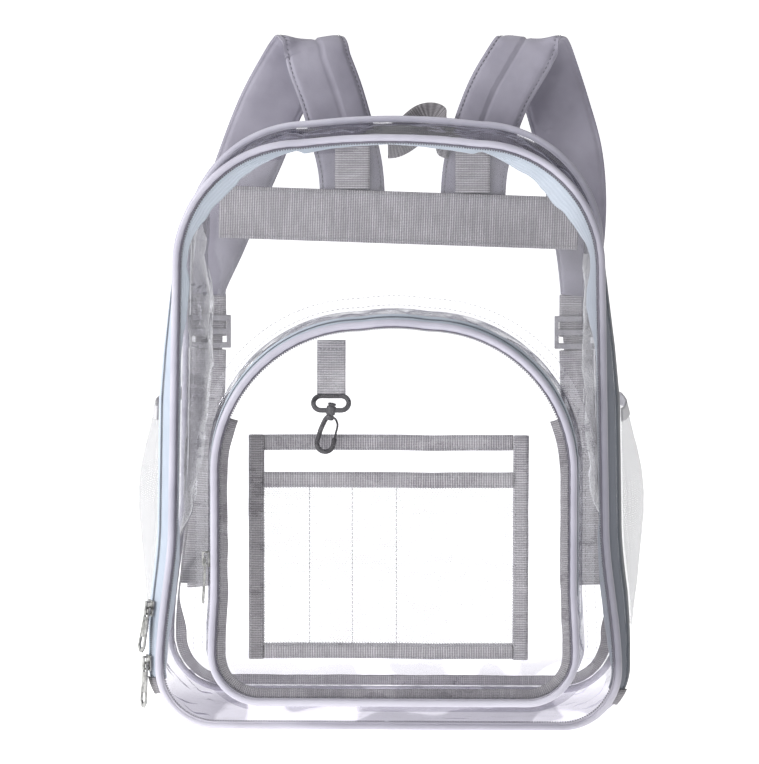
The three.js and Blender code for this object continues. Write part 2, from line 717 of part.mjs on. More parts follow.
// The padded straps rise behind the bag, fold over at the top and come down outside.
// out is a share of strapReach, back of strapBack, up of strapTop, width of strapWidth, drift of backDrift.
const strapTable = [
  { out: 0.325, back: 0, up: 0.714, width: 1, drift: 1 },
  { out: 0.325, back: 0, up: 0.764, width: 1, drift: 1 },
  { out: 0.34, back: 0.08, up: 0.816, width: 1, drift: 1 },
  { out: 0.388, back: 0.2, up: 0.871, width: 1, drift: 1 },
  { out: 0.455, back: 0.34, up: 0.926, width: 1, drift: 1.1 },
  { out: 0.53, back: 0.46, up: 0.97, width: 1, drift: 1.3 },
  { out: 0.567, back: 0.56, up: 0.992, width: 1, drift: 1.5 },
  { out: 0.6, back: 0.7, up: 1, width: 1, drift: 1.5 },
  { out: 0.64, back: 0.84, up: 0.988, width: 1, drift: 1.5 },
  { out: 0.694, back: 0.9, up: 0.958, width: 1, drift: 1.3 },
  { out: 0.784, back: 0.91, up: 0.899, width: 1, drift: 1 },
  { out: 0.866, back: 0.84, up: 0.83, width: 1, drift: 0.8 },
  { out: 0.933, back: 0.72, up: 0.759, width: 0.92, drift: 0.4 },
  { out: 0.978, back: 0.55, up: 0.689, width: 0.76, drift: 0 },
  { out: 1, back: 0.42, up: 0.636, width: 0.58, drift: -0.4 },
  { out: 1, back: 0.37, up: 0.613, width: 0.5, drift: -0.5 },
];
const padSection = [[-0.5, 0], [-0.42, 0.45], [0, 0.32], [0.42, 0.45], [0.5, 0], [0.42, -0.45], [0, -0.32],
  [-0.42, -0.45]];

// The lower webbing hangs slack from the buckle to the foot of the back.
// fall is a share of its height, out of the way from strapReach to lowerWebReach, slack of lowerWebSlack.
const lowerWebTable = [
  { fall: 0, out: 0, slack: 0 },
  { fall: 0.2, out: 0.15, slack: 0.45 },
  { fall: 0.45, out: 0.4, slack: 1 },
  { fall: 0.7, out: 0.72, slack: 0.8 },
  { fall: 0.9, out: 0.95, slack: 0.25 },
  { fall: 1, out: 1, slack: 0 },
];

function addStraps() {
  const seat = backY + film2 + gap;
  for (const [name, side, tailFoot] of [['left', -1, tailFootLeft], ['right', 1, tailFootRight]]) {
    const place = (row) => new THREE.Vector3(
      side * row.out * strapReach + row.drift * backDrift,
      seat + 0.45 * strapThickness + row.back * strapBack,
      row.up * strapTop,
    );
    const across = new THREE.Vector3(1, 0, 0);
    const frames = strapTable.map((row) => ({
      centre: place(row), across, width: row.width * strapWidth, thickness: strapThickness,
    }));
    add(`shoulder_strap_${name}`, ribbon(frames, padSection), padding());

    // A short webbing tab joins the pad to the ladder lock, whose slots face the wearer
    const end = place(strapTable[strapTable.length - 1]);
    const tabCentre = new THREE.Vector3(end.x, end.y, end.z - gap - tabDrop / 2 - 2);
    add(`strap_tab_${name}`, box(lowerWebWidth, webbing, tabDrop, ...tabCentre.toArray()), woven());
    const lockZ = tabCentre.z - tabDrop / 2 - gap - lockHeight / 2;
    const frame = new THREE.Shape();
    frame.moveTo(-lockWidth / 2, -lockHeight / 2);
    frame.lineTo(lockWidth / 2, -lockHeight / 2);
    frame.lineTo(lockWidth / 2, lockHeight / 2);
    frame.lineTo(-lockWidth / 2, lockHeight / 2);
    const slotHalf = lowerWebWidth / 2 + gap;
    const slotHeight = (lockHeight - 3 * lockBar) / 2;
    for (const foot of [lockBar - lockHeight / 2, 2 * lockBar + slotHeight - lockHeight / 2]) {
      const slot = new THREE.Path();
      slot.moveTo(-slotHalf, foot);
      slot.lineTo(slotHalf, foot);
      slot.lineTo(slotHalf, foot + slotHeight);
      slot.lineTo(-slotHalf, foot + slotHeight);
      frame.holes.push(slot);
    }
    const lock = new THREE.ExtrudeGeometry(frame, { depth: lockThickness, bevelEnabled: false })
      .rotateX(Math.PI / 2).translate(end.x, end.y + lockThickness / 2, lockZ);
    add(`ladder_lock_${name}`, lock, plastic());

    const lockFoot = lockZ - lockHeight / 2 - gap - webbing / 2;
    const footX = side * lowerWebReach - 0.5 * backDrift;
    const webEnd = seat + webbing / 2;
    add(`lower_webbing_${name}`, ribbon(lowerWebTable.map((row) => ({
      centre: new THREE.Vector3(
        lerp(end.x, footX, row.out),
        lerp(end.y, webEnd, row.fall ** 2) + row.slack * lowerWebSlack,
        lerp(lockFoot, lowerWebFoot, row.fall),
      ),
      across, width: lowerWebWidth, thickness: webbing,
    })), flatSection), woven());
    const tailY = end.y + lockThickness / 2 + gap + webbing / 2;
    const turned = new THREE.Vector3(Math.cos(radians(tailTurn)), Math.sin(radians(tailTurn)), 0);
    add(`strap_tail_${name}`, ribbon([0, 0.15, 0.5, 1].map((fall) => ({
      centre: new THREE.Vector3(end.x + side * tailSpread * fall, tailY + lowerWebSlack * Math.min(1, 5 * fall) * 1.1,
        lerp(lockZ, tailFoot, fall)),
      across: across.clone().lerp(turned, Math.min(1, 3 * fall)), width: tailWidth, thickness: webbing,
    })), flatSection), woven());
  }
}

// The carrying loop: its ends lie flat on the back panel and its middle stands off
function addHandle() {
  const steps = 10;
  const seat = backY + pipingDiameter / 2 + 2 * gap + webbing / 2;
  const frames = Array.from({ length: steps + 1 }, (_, i) => {
    const t = i / steps;
    const hump = Math.sin(Math.PI * t ** handleSkew) ** 2;
    const tilt = radians(handleTilt * hump);
    return {
      centre: new THREE.Vector3(handleShift + handleLength * (t - 0.5) + handleLean * hump,
        seat + handleStand * hump, handleSeat + handleRise * hump),
      across: new THREE.Vector3(0, Math.sin(tilt), Math.cos(tilt)), width: handleWidth, thickness: webbing,
    };
  });
  add('top_handle', ribbon(frames, flatSection), woven());
}

// A mesh pocket on each side wall, with an elastic hem along its mouth
function addSidePockets() {
  const columns = [0, 0.08, 0.25, 0.5, 0.75, 0.92, 1];
  const near = 0.22;
  const far = 0.94;
  const seat = gap + 0.2;
  const from = lengthAtHeight(body, sideFoot);
  const to = lengthAtHeight(body, sideTop);
  const hemFrom = lengthAtHeight(body, sideTop - sideHem);
  const swell = (v) => {
    const belly = 0.45;
    if (v < belly) return Math.sin(Math.PI / 2 * v / belly);
    const t = (v - belly) / (1 - belly);
    return lerp(1, sideHemBulge / sideBulge, t * t * (3 - 2 * t));
  };
  for (const [name, side] of [['left', -1], ['right', 1]]) {
    const point = (stations, lift) => (u, row) => {
      const p = stations[row];
      const share = lerp(near, far, u);
      const bulge = sideBulge * swell((p.s - from) / (to - from)) * Math.sin(Math.PI * u) ** 0.6;
      const out = skinOut(p, share) + seat + bulge + lift;
      const x = bodyShift + side * (p.x - bodyShift + p.nx * out);
      return new THREE.Vector3(x, frontY + bagDepth * share, p.z + p.nz * out);
    };
    const rowsOf = (stations) => stations.map((_, i) => i);
    const cloth = stretch(body, from, hemFrom - gap);
    const hem = stretch(body, hemFrom, to);
    add(`side_mesh_${name}`, shell(columns, rowsOf(cloth), point(cloth, meshCloth), point(cloth, 0)), net());
    add(`side_hem_${name}`, shell(columns, rowsOf(hem), point(hem, meshCloth + 0.6), point(hem, 0)), ribbed());
  }
}

// A slider with a bridge, and a pull whose eye turns under the bridge about the local X axis
function addSlider(name, place) {
  const pivotY = sliderPlate + gap + pullThickness;
  const bridgeFoot = pivotY + pullThickness / 2 + 1.3 * gap;
  const reach = sliderLength / 2 - 0.6;
  const post = (z) => solid(box(bridgeWidth, bridgeFoot + bridgeBar, bridgeBar, 0,
    (bridgeFoot + bridgeBar) / 2, z * (reach - bridgeBar / 2)));
  const slider = solid(box(sliderWidth, sliderPlate, sliderLength, 0, sliderPlate / 2, 0))
    .add(post(1)).add(post(-1))
    .add(solid(box(bridgeWidth, bridgeBar, 2 * reach, 0, bridgeFoot + bridgeBar / 2, 0)));
  add(`slider_${name}`, fromSolid(slider), nickel(), place);

  const railIn = bridgeWidth / 2 + 2.5 * gap;
  const railOut = railIn + pullRail;
  const half = pullWidth / 2;
  const bar = pullThickness / 2;
  const flatPull = new THREE.Shape([
    [-railOut, bar], [-railOut, -pullEye - 2], [-half * 0.8, -pullEye - 5], [-half, -pullLength + 4],
    [-half * 0.4, -pullLength], [half * 0.4, -pullLength], [half, -pullLength + 4],
    [half * 0.8, -pullEye - 5], [railOut, -pullEye - 2], [railOut, bar],
  ].map(([x, y]) => new THREE.Vector2(x, y)));
  const cutOut = (points) => new THREE.Path(points.map(([x, y]) => new THREE.Vector2(x, y)));
  flatPull.holes.push(cutOut([[-railIn, -bar], [railIn, -bar], [railIn, -pullEye], [-railIn, -pullEye]]));
  flatPull.holes.push(cutOut([[-half * 0.45, -pullLength + 11], [half * 0.45, -pullLength + 11],
    [half * 0.6, -pullLength + 5], [0, -pullLength + 2.2], [-half * 0.6, -pullLength + 5]]));
  const pull = new THREE.ExtrudeGeometry(flatPull, { depth: pullThickness, bevelEnabled: false })
    .rotateX(Math.PI / 2).translate(0, pullThickness / 2, 0);
  const hang = place.clone().multiply(new THREE.Matrix4().makeTranslation(0, pivotY, 0))
    .multiply(new THREE.Matrix4().makeRotationX(radians(pullRest)));
  add(`pull_${name}`, pull, nickel(), hang);
}

// A frame on the left side of a loop at a height: X across the zip, Y out of it and Z up along it
function zipFrame(loop, height, pointAt, lift) {
  const s = loop.total - lengthAtHeight(loop, height);
  const p = stationAt(loop, s);
  const outward = new THREE.Vector3(p.nx, 0, p.nz).normalize();
  const low = pointAt(p, 0);
  const high = pointAt(p, lift);
  const at = (q) => new THREE.Vector3(p.x, 0, p.z).addScaledVector(outward, q[0]).setY(q[1]);
  const normal = at(high).sub(at(low)).normalize();
  const up = new THREE.Vector3(-outward.z, 0, outward.x).multiplyScalar(-1);
  const across = normal.clone().cross(up).normalize();
  return new THREE.Matrix4().makeBasis(across, normal, up).setPosition(at(high));
}

function addZipHardware() {
  const middle = (coilStart + coilEnd) / 2;
  const outAt = (p) => (y) => skinOut(p, (y - frontY) / bagDepth);
  const onCoil = (p, height) => above(outAt(p), frontY + bagDepth * middle, height);
  const top = (coilHeight - film) / 2 + gap;
  addSlider('main_upper', zipFrame(body, upperPullZ, onCoil, top));
  addSlider('main_lower', zipFrame(body, lowerPullZ, onCoil, top));
  addSlider('pocket', zipFrame(pocket, pocketPullZ, pocketCoil, top));

  // Cloth tabs over the four ends of the two zips
  const tabStops = [lerp(tapeStart, tapeEnd, 0.3), tapeEnd, lerp(rearStart, rearEnd, 0.15), lerp(rearStart, rearEnd, 0.6)];
  const tabWall = (p) => skinWall(p, tabStops, binding, binding + 1.5 * gap);
  add('zip_end_right', sweep(stretch(body, zipStart - endTabLength, zipStart - 2 * gap), false, tabWall), ribbed());
  add('zip_end_left', sweep(stretch(body, zipStop + 2 * gap, zipStop + endTabLength), false, tabWall), ribbed());
}

addBody();
addPocket();
addOrganizer();
addKeyHook();
addBackWebbing();
addStraps();
addHandle();
addSidePockets();
addZipHardware();

export default group;
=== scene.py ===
import math

import bmesh
import bpy
import numpy as np
from mathutils import Matrix, Vector


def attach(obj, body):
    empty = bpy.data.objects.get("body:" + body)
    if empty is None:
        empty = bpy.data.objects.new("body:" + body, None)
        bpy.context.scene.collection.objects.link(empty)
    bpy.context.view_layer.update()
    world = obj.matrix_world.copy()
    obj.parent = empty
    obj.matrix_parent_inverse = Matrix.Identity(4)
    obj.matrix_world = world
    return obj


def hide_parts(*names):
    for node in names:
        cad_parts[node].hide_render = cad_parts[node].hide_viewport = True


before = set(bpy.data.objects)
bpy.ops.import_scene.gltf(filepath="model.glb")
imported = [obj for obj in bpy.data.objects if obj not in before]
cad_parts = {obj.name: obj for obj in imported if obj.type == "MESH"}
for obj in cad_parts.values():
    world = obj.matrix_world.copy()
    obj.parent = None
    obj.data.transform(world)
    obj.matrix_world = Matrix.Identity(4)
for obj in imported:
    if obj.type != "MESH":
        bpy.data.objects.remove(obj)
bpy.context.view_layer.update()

# A clear stadium backpack. Shapes are worked out in millimetres and written in metres.
MM = 0.001
BAG = "bag"
SIDES = (("left", -1), ("right", 1))

# Camera
CAMERA_AZIMUTH = 1.5
CAMERA_ELEVATION = 7.4
CAMERA_DISTANCE = 4.42
CAMERA_AIM = (-0.010, -0.075, 0.2483)
FOCAL_LENGTH = 296.5


def add_camera():
    """The photograph's viewpoint."""
    a, e = math.radians(CAMERA_AZIMUTH), math.radians(CAMERA_ELEVATION)
    back = Vector((math.sin(a) * math.cos(e), -math.cos(a) * math.cos(e), math.sin(e)))
    data = bpy.data.cameras.new("camera")
    data.lens = FOCAL_LENGTH
    data.clip_start, data.clip_end = 0.1, 100
    camera = bpy.data.objects.new("camera", data)
    camera.location = Vector(CAMERA_AIM) + back * CAMERA_DISTANCE
    camera.rotation_euler = (-back).to_track_quat("-Z", "Y").to_euler()
    bpy.context.collection.objects.link(camera)
    bpy.context.scene.camera = camera


# Sizes of the model that the pieces are fitted to, in millimetres
GAP = 0.3
PIPING = 4.4
DEPTH = 150
FRONT_Y, BACK_Y = -DEPTH / 2, DEPTH / 2
FOOT_LIFT = PIPING + 2 * GAP
WALL_BULGE, CROWN_BULGE, FOOT_BULGE = 14, 3, FOOT_LIFT
BODY = dict(foot=FOOT_LIFT, foot_half=160, foot_radius=38, waist_half=150.5, waist=150,
            shoulder_half=147, shoulder_radius=85, crown=418, crown_rise=4, shift=-3.7)
BULGE = np.array([  # height, share of the side bulge
    (0, 0.78), (50, 0.8), (95, 1), (235, 1), (271, 0.8), (307, 0.52), (343, 0.25), (379, 0.2), (430, 0.2)])
POCKET = dict(foot=31, foot_half=125, foot_radius=32, waist_half=123, waist=110,
              shoulder_radius=100, crown=292, crown_rise=2, shift=1)
ZIP_LEFT, ZIP_RIGHT = 36, 30
ZIP_TAPE, COIL_WIDTH = 10, 2.4
TAPE_LEAN, COIL_LEAN = 0.555, 0.7
POCKET_DEPTH_FOOT, POCKET_DEPTH_TOP = 50, 35
POCKET_FLARE, POCKET_STAND, POCKET_HEM = 5, 10, 9
POCKET_TAPE = 7
POCKET_ZIP_LEFT, POCKET_ZIP_RIGHT = 124, 102
WALL_Y = FRONT_Y - 0.5 - GAP
# How far the side walls sag inwards at a few heights
SAG_HEIGHTS = [60, 85, 120, 155, 190, 225, 290, 340, 380, 410]
LEFT_SAG = [0, 0, 4, 9, 13, 18, 20, 14, 8, 2]
RIGHT_SAG = [1, 3, 4, 7, 9, 11, 10, 9, 5, 1]


# Smooth seeded noise
TABLE_SIZE = 32
noise_table = np.random.default_rng(11).random((TABLE_SIZE, TABLE_SIZE, TABLE_SIZE))


def noise(points, scale=1.0, octaves=3):
    """Smooth noise from -1 to 1 at points of any shape, three numbers each."""
    p = np.asarray(points, float) * scale + 100
    total, weight = np.zeros(p.shape[:-1]), 0
    for octave in range(octaves):
        q = p * 2 ** octave + 7.3 * octave
        base = np.floor(q).astype(int)
        t = q - base
        t = t * t * (3 - 2 * t)
        value = 0
        for i in (0, 1):
            for j in (0, 1):
                for k in (0, 1):
                    corner = noise_table[(base[..., 0] + i) % TABLE_SIZE, (base[..., 1] + j) % TABLE_SIZE,
                                         (base[..., 2] + k) % TABLE_SIZE]
                    share = (np.where(i, t[..., 0], 1 - t[..., 0]) * np.where(j, t[..., 1], 1 - t[..., 1])
                             * np.where(k, t[..., 2], 1 - t[..., 2]))
                    value = value + corner * share
        total += value * 0.5 ** octave
        weight += 0.5 ** octave
    return total / weight * 2 - 1


def ridges(points, scale=1.0, octaves=2):
    """Sharp creases: 1 on the crease lines, falling to 0 between them."""
    return 1 - np.abs(noise(points, scale, octaves)) * 2.2


def smooth(t):
    """A soft step: 0 up to 0, 1 from 1 on."""
    t = np.clip(t, 0, 1)
    return t * t * (3 - 2 * t)


def xyz(x, y, z):
    """Points from three coordinates, each an array or one number."""
    return np.stack(np.broadcast_arrays(x, y, z), -1)


# Outlines
class Loop:
    """Stations round an outline in the XZ plane, with outward normals and the length run so far."""

    def __init__(self, x, z, nx, nz):
        self.x, self.z = np.asarray(x, float), np.asarray(z, float)
        length = np.hypot(nx, nz)
        self.nx, self.nz = np.asarray(nx) / length, np.asarray(nz) / length
        steps = np.hypot(np.diff(self.x), np.diff(self.z))
        self.s = np.concatenate([[0], np.cumsum(steps)])

    def at(self, s, total):
        """Stations at the lengths s, which may run past the loop's end."""
        s = np.mod(s, total)
        run = np.append(self.s, total)
        pick = [np.interp(s, run, np.append(v, v[0])) for v in (self.x, self.z, self.nx, self.nz)]
        return Loop(*pick)


def outline(foot, foot_half, foot_radius, waist_half, waist, shoulder_radius, crown, crown_rise, shift,
            shoulder_half=None, step=2.5):
    x, z, nx, nz = [], [], [], []

    def put(px, pz, qx, qz):
        for store, value in ((x, px), (z, pz), (nx, qx), (nz, qz)):
            store.extend(np.broadcast_to(value, np.shape(px)).tolist())

    foot_x, foot_z = foot_half - foot_radius, foot + foot_radius
    shoulder_half = shoulder_half or waist_half
    shoulder_x = shoulder_half - shoulder_radius
    shoulder_z = crown - crown_rise - shoulder_radius
    t = np.linspace(0, 1, int(foot_x / step), endpoint=False)
    put(foot_x * t, foot + 0 * t, 0 * t, -1 + 0 * t)
    a = np.linspace(-math.pi / 2, 0, int(foot_radius * 1.57 / step), endpoint=False)
    put(foot_x + foot_radius * np.cos(a), foot_z + foot_radius * np.sin(a), np.cos(a), np.sin(a))
    t = np.linspace(0, 1, int((waist - foot_z) / step), endpoint=False)
    flare = foot_half - waist_half
    slope = -flare * 6 * t * (1 - t) / (waist - foot_z)
    put(foot_half - flare * t * t * (3 - 2 * t), foot_z + (waist - foot_z) * t, 1 + 0 * t, -slope)
    t = np.linspace(0, 1, int((shoulder_z - waist) / step), endpoint=False)
    put(waist_half + (shoulder_half - waist_half) * t, waist + (shoulder_z - waist) * t, 1 + 0 * t, 0 * t)
    a = np.linspace(0, math.pi / 2, int(shoulder_radius * 1.57 / step), endpoint=False)
    put(shoulder_x + shoulder_radius * np.cos(a), shoulder_z + shoulder_radius * np.sin(a), np.cos(a),
        np.sin(a))
    share = 1 - np.linspace(0, 1, int(shoulder_x / step) + 2)[1:]
    put(shoulder_x * share, crown - crown_rise * share ** 2, 2 * crown_rise * share / shoulder_x,
        1 + 0 * share)
    x, z, nx, nz = (np.array(v) for v in (x, z, nx, nz))
    inner = slice(-2, 0, -1)
    loop = Loop(np.concatenate([x, -x[inner]]) + shift, np.concatenate([z, z[inner]]),
                np.concatenate([nx, -nx[inner]]), np.concatenate([nz, nz[inner]]))
    loop.total = loop.s[-1] + math.hypot(loop.x[0] - loop.x[-1], loop.z[0] - loop.z[-1])
    return loop


def height_run(loop, height):
    """The length along a loop at which its right side reaches a height."""
    half = len(loop.x) // 2
    return float(np.interp(height, loop.z[:half], loop.s[:half]))


def stretch(loop, start, stop, step=2.5):
    """Stations on a part of a loop, between two lengths."""
    return loop.at(np.linspace(start, stop, max(3, int((stop - start) / step))), loop.total)


body = outline(**BODY)
pocket = outline(**POCKET)
zip_run = (height_run(body, ZIP_RIGHT), body.total - height_run(body, ZIP_LEFT))
pocket_run = (height_run(pocket, POCKET_ZIP_RIGHT), pocket.total - height_run(pocket, POCKET_ZIP_LEFT))

SEAM = (PIPING / 2 + GAP) / DEPTH
SKIN = np.array([  # share of the depth, share of the side bulge, share of the foot's
    (SEAM, 0.03, 0.03), (1.32 * SEAM, 0.3, 0.2), (0.055, 0.72, 0.55), (0.08, 0.9, 0.75), (0.15, 1, 1),
    (0.5, 1, 1), (0.78, 0.82, 1), (0.9, 0.5, 0.8), (1 - SEAM, 0.03, 0.03)])
TAPE_FROM = 1.08 * SEAM
TAPE_TO = TAPE_FROM + TAPE_LEAN * ZIP_TAPE / DEPTH
COIL_FROM = TAPE_TO + GAP / DEPTH
COIL_TO = COIL_FROM + COIL_LEAN * COIL_WIDTH / DEPTH
REAR_FROM = COIL_TO + GAP / DEPTH
REAR_TO = REAR_FROM + ZIP_TAPE / DEPTH
FILM_FROM = REAR_TO - 1.5 / DEPTH


def skin_out(st, d):
    """How far the bag's skin stands out of the seam's outline: stations by shares of the depth."""
    fine = np.linspace(SKIN[0, 0], SKIN[-1, 0], 600)
    kernel = np.ones(9) / 9
    wall, floor = (np.convolve(np.pad(np.interp(fine, SKIN[:, 0], SKIN[:, k]), 4, mode="edge"), kernel,
                               "valid")
                   for k in (1, 2))
    wall, floor = np.interp(d, fine, wall), np.interp(d, fine, floor)
    nx, nz = st.nx[:, None], st.nz[:, None]
    up = np.where(nz > 0, CROWN_BULGE * wall, FOOT_BULGE * floor)
    share = np.interp(st.z, BULGE[:, 0], BULGE[:, 1])[:, None]
    return WALL_BULGE * share * nx ** 2 * wall + up * nz ** 2


def skin_line(st, d, lift=0.0):
    """Out and y on the skin, lifted along its normal: two arrays, stations by shares."""
    out = skin_out(st, d)
    y = np.broadcast_to(FRONT_Y + DEPTH * np.asarray(d), out.shape)
    slope = (skin_out(st, np.asarray(d) + 0.004) - skin_out(st, np.asarray(d) - 0.004)) / (0.008 * DEPTH)
    length = np.hypot(1, slope)
    return out + lift / length, y - lift * slope / length


def carry(st, out, y):
    """Points of the stations, moved out and to y."""
    return xyz(st.x[:, None] + st.nx[:, None] * out, np.broadcast_to(y, out.shape),
               st.z[:, None] + st.nz[:, None] * out)


def pocket_y(z):
    """How far forward the pocket's front seam is at a height: it stands deeper at its foot."""
    share = (np.asarray(z, float) - POCKET["foot"]) / (POCKET["crown"] - POCKET["foot"])
    return WALL_Y - (POCKET_DEPTH_FOOT + (POCKET_DEPTH_TOP - POCKET_DEPTH_FOOT) * share)


def pocket_side(st, behind, lift=0.0):
    """Out and y on the pocket's side wall at distances behind its front seam."""
    front = pocket_y(st.z)[:, None]
    behind = np.asarray(behind, float)

    def out_at(b):
        share = b / (WALL_Y - front)
        return 1 + 0.8 * (PIPING - 1) * np.minimum(1, b / POCKET_STAND) + share * POCKET_FLARE

    slope = out_at(behind + 0.5) - out_at(behind - 0.5)
    length = np.hypot(1, slope)
    return out_at(behind) + lift / length, front + behind - lift * slope / length


# Mesh building
def make(name, points, faces, material, uvs=None, smooth_shade=True):
    """A mesh object from points in millimetres. uvs hold a pair for each point, in millimetres too."""
    mesh = bpy.data.meshes.new(name)
    mesh.from_pydata((np.asarray(points, float).reshape(-1, 3) * MM).tolist(), [], faces)
    if uvs is not None:
        layer = mesh.uv_layers.new(name="run")
        flat = np.asarray(uvs, float).reshape(-1, 2) * MM
        index = np.empty(len(mesh.loops), int)
        mesh.loops.foreach_get("vertex_index", index)
        layer.data.foreach_set("uv", flat[index].ravel())
    mesh.materials.append(material)
    mesh.validate()
    if smooth_shade:
        mesh.polygons.foreach_set("use_smooth", [True] * len(mesh.polygons))
    thing = bpy.data.objects.new(name, mesh)
    bpy.context.collection.objects.link(thing)
    return thing


def outward(thing):
    """Turns a closed piece's faces to point out."""
    bm = bmesh.new()
    bm.from_mesh(thing.data)
    bmesh.ops.recalc_face_normals(bm, faces=bm.faces)
    bm.to_mesh(thing.data)
    bm.free()
    return thing


def grid(name, points, material, hoop=False, round_section=False, caps=False, run=None, across=None):
    """A surface over points[station, place]. hoop joins the last station to the first, and round_section
    the last place to the first. caps closes both ends of a bar."""
    rows, columns = points.shape[:2]
    base = np.arange(rows * columns).reshape(rows, columns)
    nxt = np.roll(base, -1, 0) if hoop else base[1:]
    here = base if hoop else base[:-1]
    if round_section:
        a, b, c, d = here, np.roll(here, -1, 1), np.roll(nxt, -1, 1), nxt
    else:
        a, b, c, d = here[:, :-1], here[:, 1:], nxt[:, 1:], nxt[:, :-1]
    faces = np.stack([a, b, c, d], -1).reshape(-1, 4).tolist()
    if caps:
        faces += [base[0][::-1].tolist(), base[-1].tolist()]
    if run is None:
        steps = np.linalg.norm(np.diff(points.mean(1), axis=0), axis=-1)
        run = np.concatenate([[0], np.cumsum(steps)])
    if across is None:
        steps = np.linalg.norm(np.diff(points, axis=1), axis=-1).mean(0)
        across = np.concatenate([[0], np.cumsum(steps)])
    uvs = np.stack(np.broadcast_arrays(np.asarray(run)[:, None], np.asarray(across)[None, :]), -1)
    return make(name, points, faces, material, uvs)


def settle(thing, slot, *nodes, ride=BAG):
    """Rides a piece on its body and hides the model nodes it stands for; slot is not used."""
    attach(thing, ride)
    if nodes:
        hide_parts(*nodes)
    return thing


# Materials
def srgb(r, g, b):
    """A linear colour from 8-bit screen values."""
    return tuple(((v / 255) / 12.92 if v <= 10 else ((v / 255 + 0.055) / 1.055) ** 2.4)
                 for v in (r, g, b)) + (1,)


class Nodes:
    """Short calls for building one material, or the world."""

    def __init__(self, name, world=False):
        self.owner = (bpy.data.worlds if world else bpy.data.materials).new(name)
        self.owner.use_nodes = True
        self.tree = self.owner.node_tree
        self.tree.nodes.clear()
        self.out = self.add("ShaderNodeOutputWorld" if world else "ShaderNodeOutputMaterial")

    def add(self, kind, sets=None, **links):
        node = self.tree.nodes.new(kind)
        for key, value in (sets or {}).items():
            setattr(node, key, value)
        for key, value in links.items():
            self.put(node, int(key[1:]) if key[0] == "i" and key[1:].isdigit() else key.replace("_", " "),
                     value)
        return node

    def put(self, node, socket, value):
        target = node.inputs[socket]
        if isinstance(value, bpy.types.NodeSocket):
            self.tree.links.new(value, target)
        elif isinstance(value, bpy.types.Node):
            self.tree.links.new(value.outputs[0], target)
        else:
            target.default_value = value

    def math(self, operation, a, b=0.0, clamp=False):
        return self.add("ShaderNodeMath", {"operation": operation, "use_clamp": clamp}, i0=a, i1=b)

    def mix(self, share, a, b, blend="MIX"):
        node = self.add("ShaderNodeMix", {"data_type": "RGBA", "blend_type": blend})
        self.put(node, 0, share)
        self.put(node, 6, a)
        self.put(node, 7, b)
        return node.outputs[2]

    def ramp(self, value, stops):
        node = self.add("ShaderNodeValToRGB", i0=value)
        elements = node.color_ramp.elements
        while len(elements) < len(stops):
            elements.new(0.5)
        for element, (place, colour) in zip(elements, stops):
            element.position = place
            element.color = colour if hasattr(colour, "__len__") else (colour, colour, colour, 1)
        return node

    def place(self, scale=(1, 1, 1), uv=True, turn=0.0):
        source = self.add("ShaderNodeUVMap") if uv else self.add("ShaderNodeTexCoord").outputs["Object"]
        node = self.add("ShaderNodeMapping")
        self.put(node, "Vector", source)
        node.inputs["Scale"].default_value = scale
        node.inputs["Rotation"].default_value = (0, 0, turn)
        return node

    def noise(self, where, scale, detail=2.0, rough=0.5):
        node = self.add("ShaderNodeTexNoise")
        self.put(node, "Vector", where)
        for key, value in (("Scale", scale), ("Detail", detail), ("Roughness", rough)):
            node.inputs[key].default_value = value
        return node

    def wave(self, where, scale, distortion=0.0, direction="X", detail_scale=1.0):
        node = self.add("ShaderNodeTexWave", {"wave_type": "BANDS", "bands_direction": direction})
        self.put(node, "Vector", where)
        for key, value in (("Scale", scale), ("Distortion", distortion), ("Detail Scale", detail_scale)):
            node.inputs[key].default_value = value
        return node

    def bump(self, height, strength, distance, normal=None):
        node = self.add("ShaderNodeBump")
        self.put(node, "Height", height)
        node.inputs["Strength"].default_value = strength
        node.inputs["Distance"].default_value = distance
        if normal is not None:
            self.put(node, "Normal", normal)
        return node

    def principled(self, colour, roughness, normal=None, **sets):
        node = self.add("ShaderNodeBsdfPrincipled")
        self.put(node, "Base Color", colour)
        self.put(node, "Roughness", roughness)
        if normal is not None:
            self.put(node, "Normal", normal)
        for key, value in sets.items():
            node.inputs[key.replace("_", " ")].default_value = value
        return node

    def done(self, shader):
        self.put(self.out, "Surface", shader)
        return self.owner


# The wave texture turns once in 2 pi / 20 of its own units at scale 1
WAVE_TURNS = 20 / (2 * math.pi)


def per_metre(pitch_mm):
    """The wave texture's scale for bands a pitch apart, where one unit is a metre."""
    return 1 / (pitch_mm * MM) / WAVE_TURNS


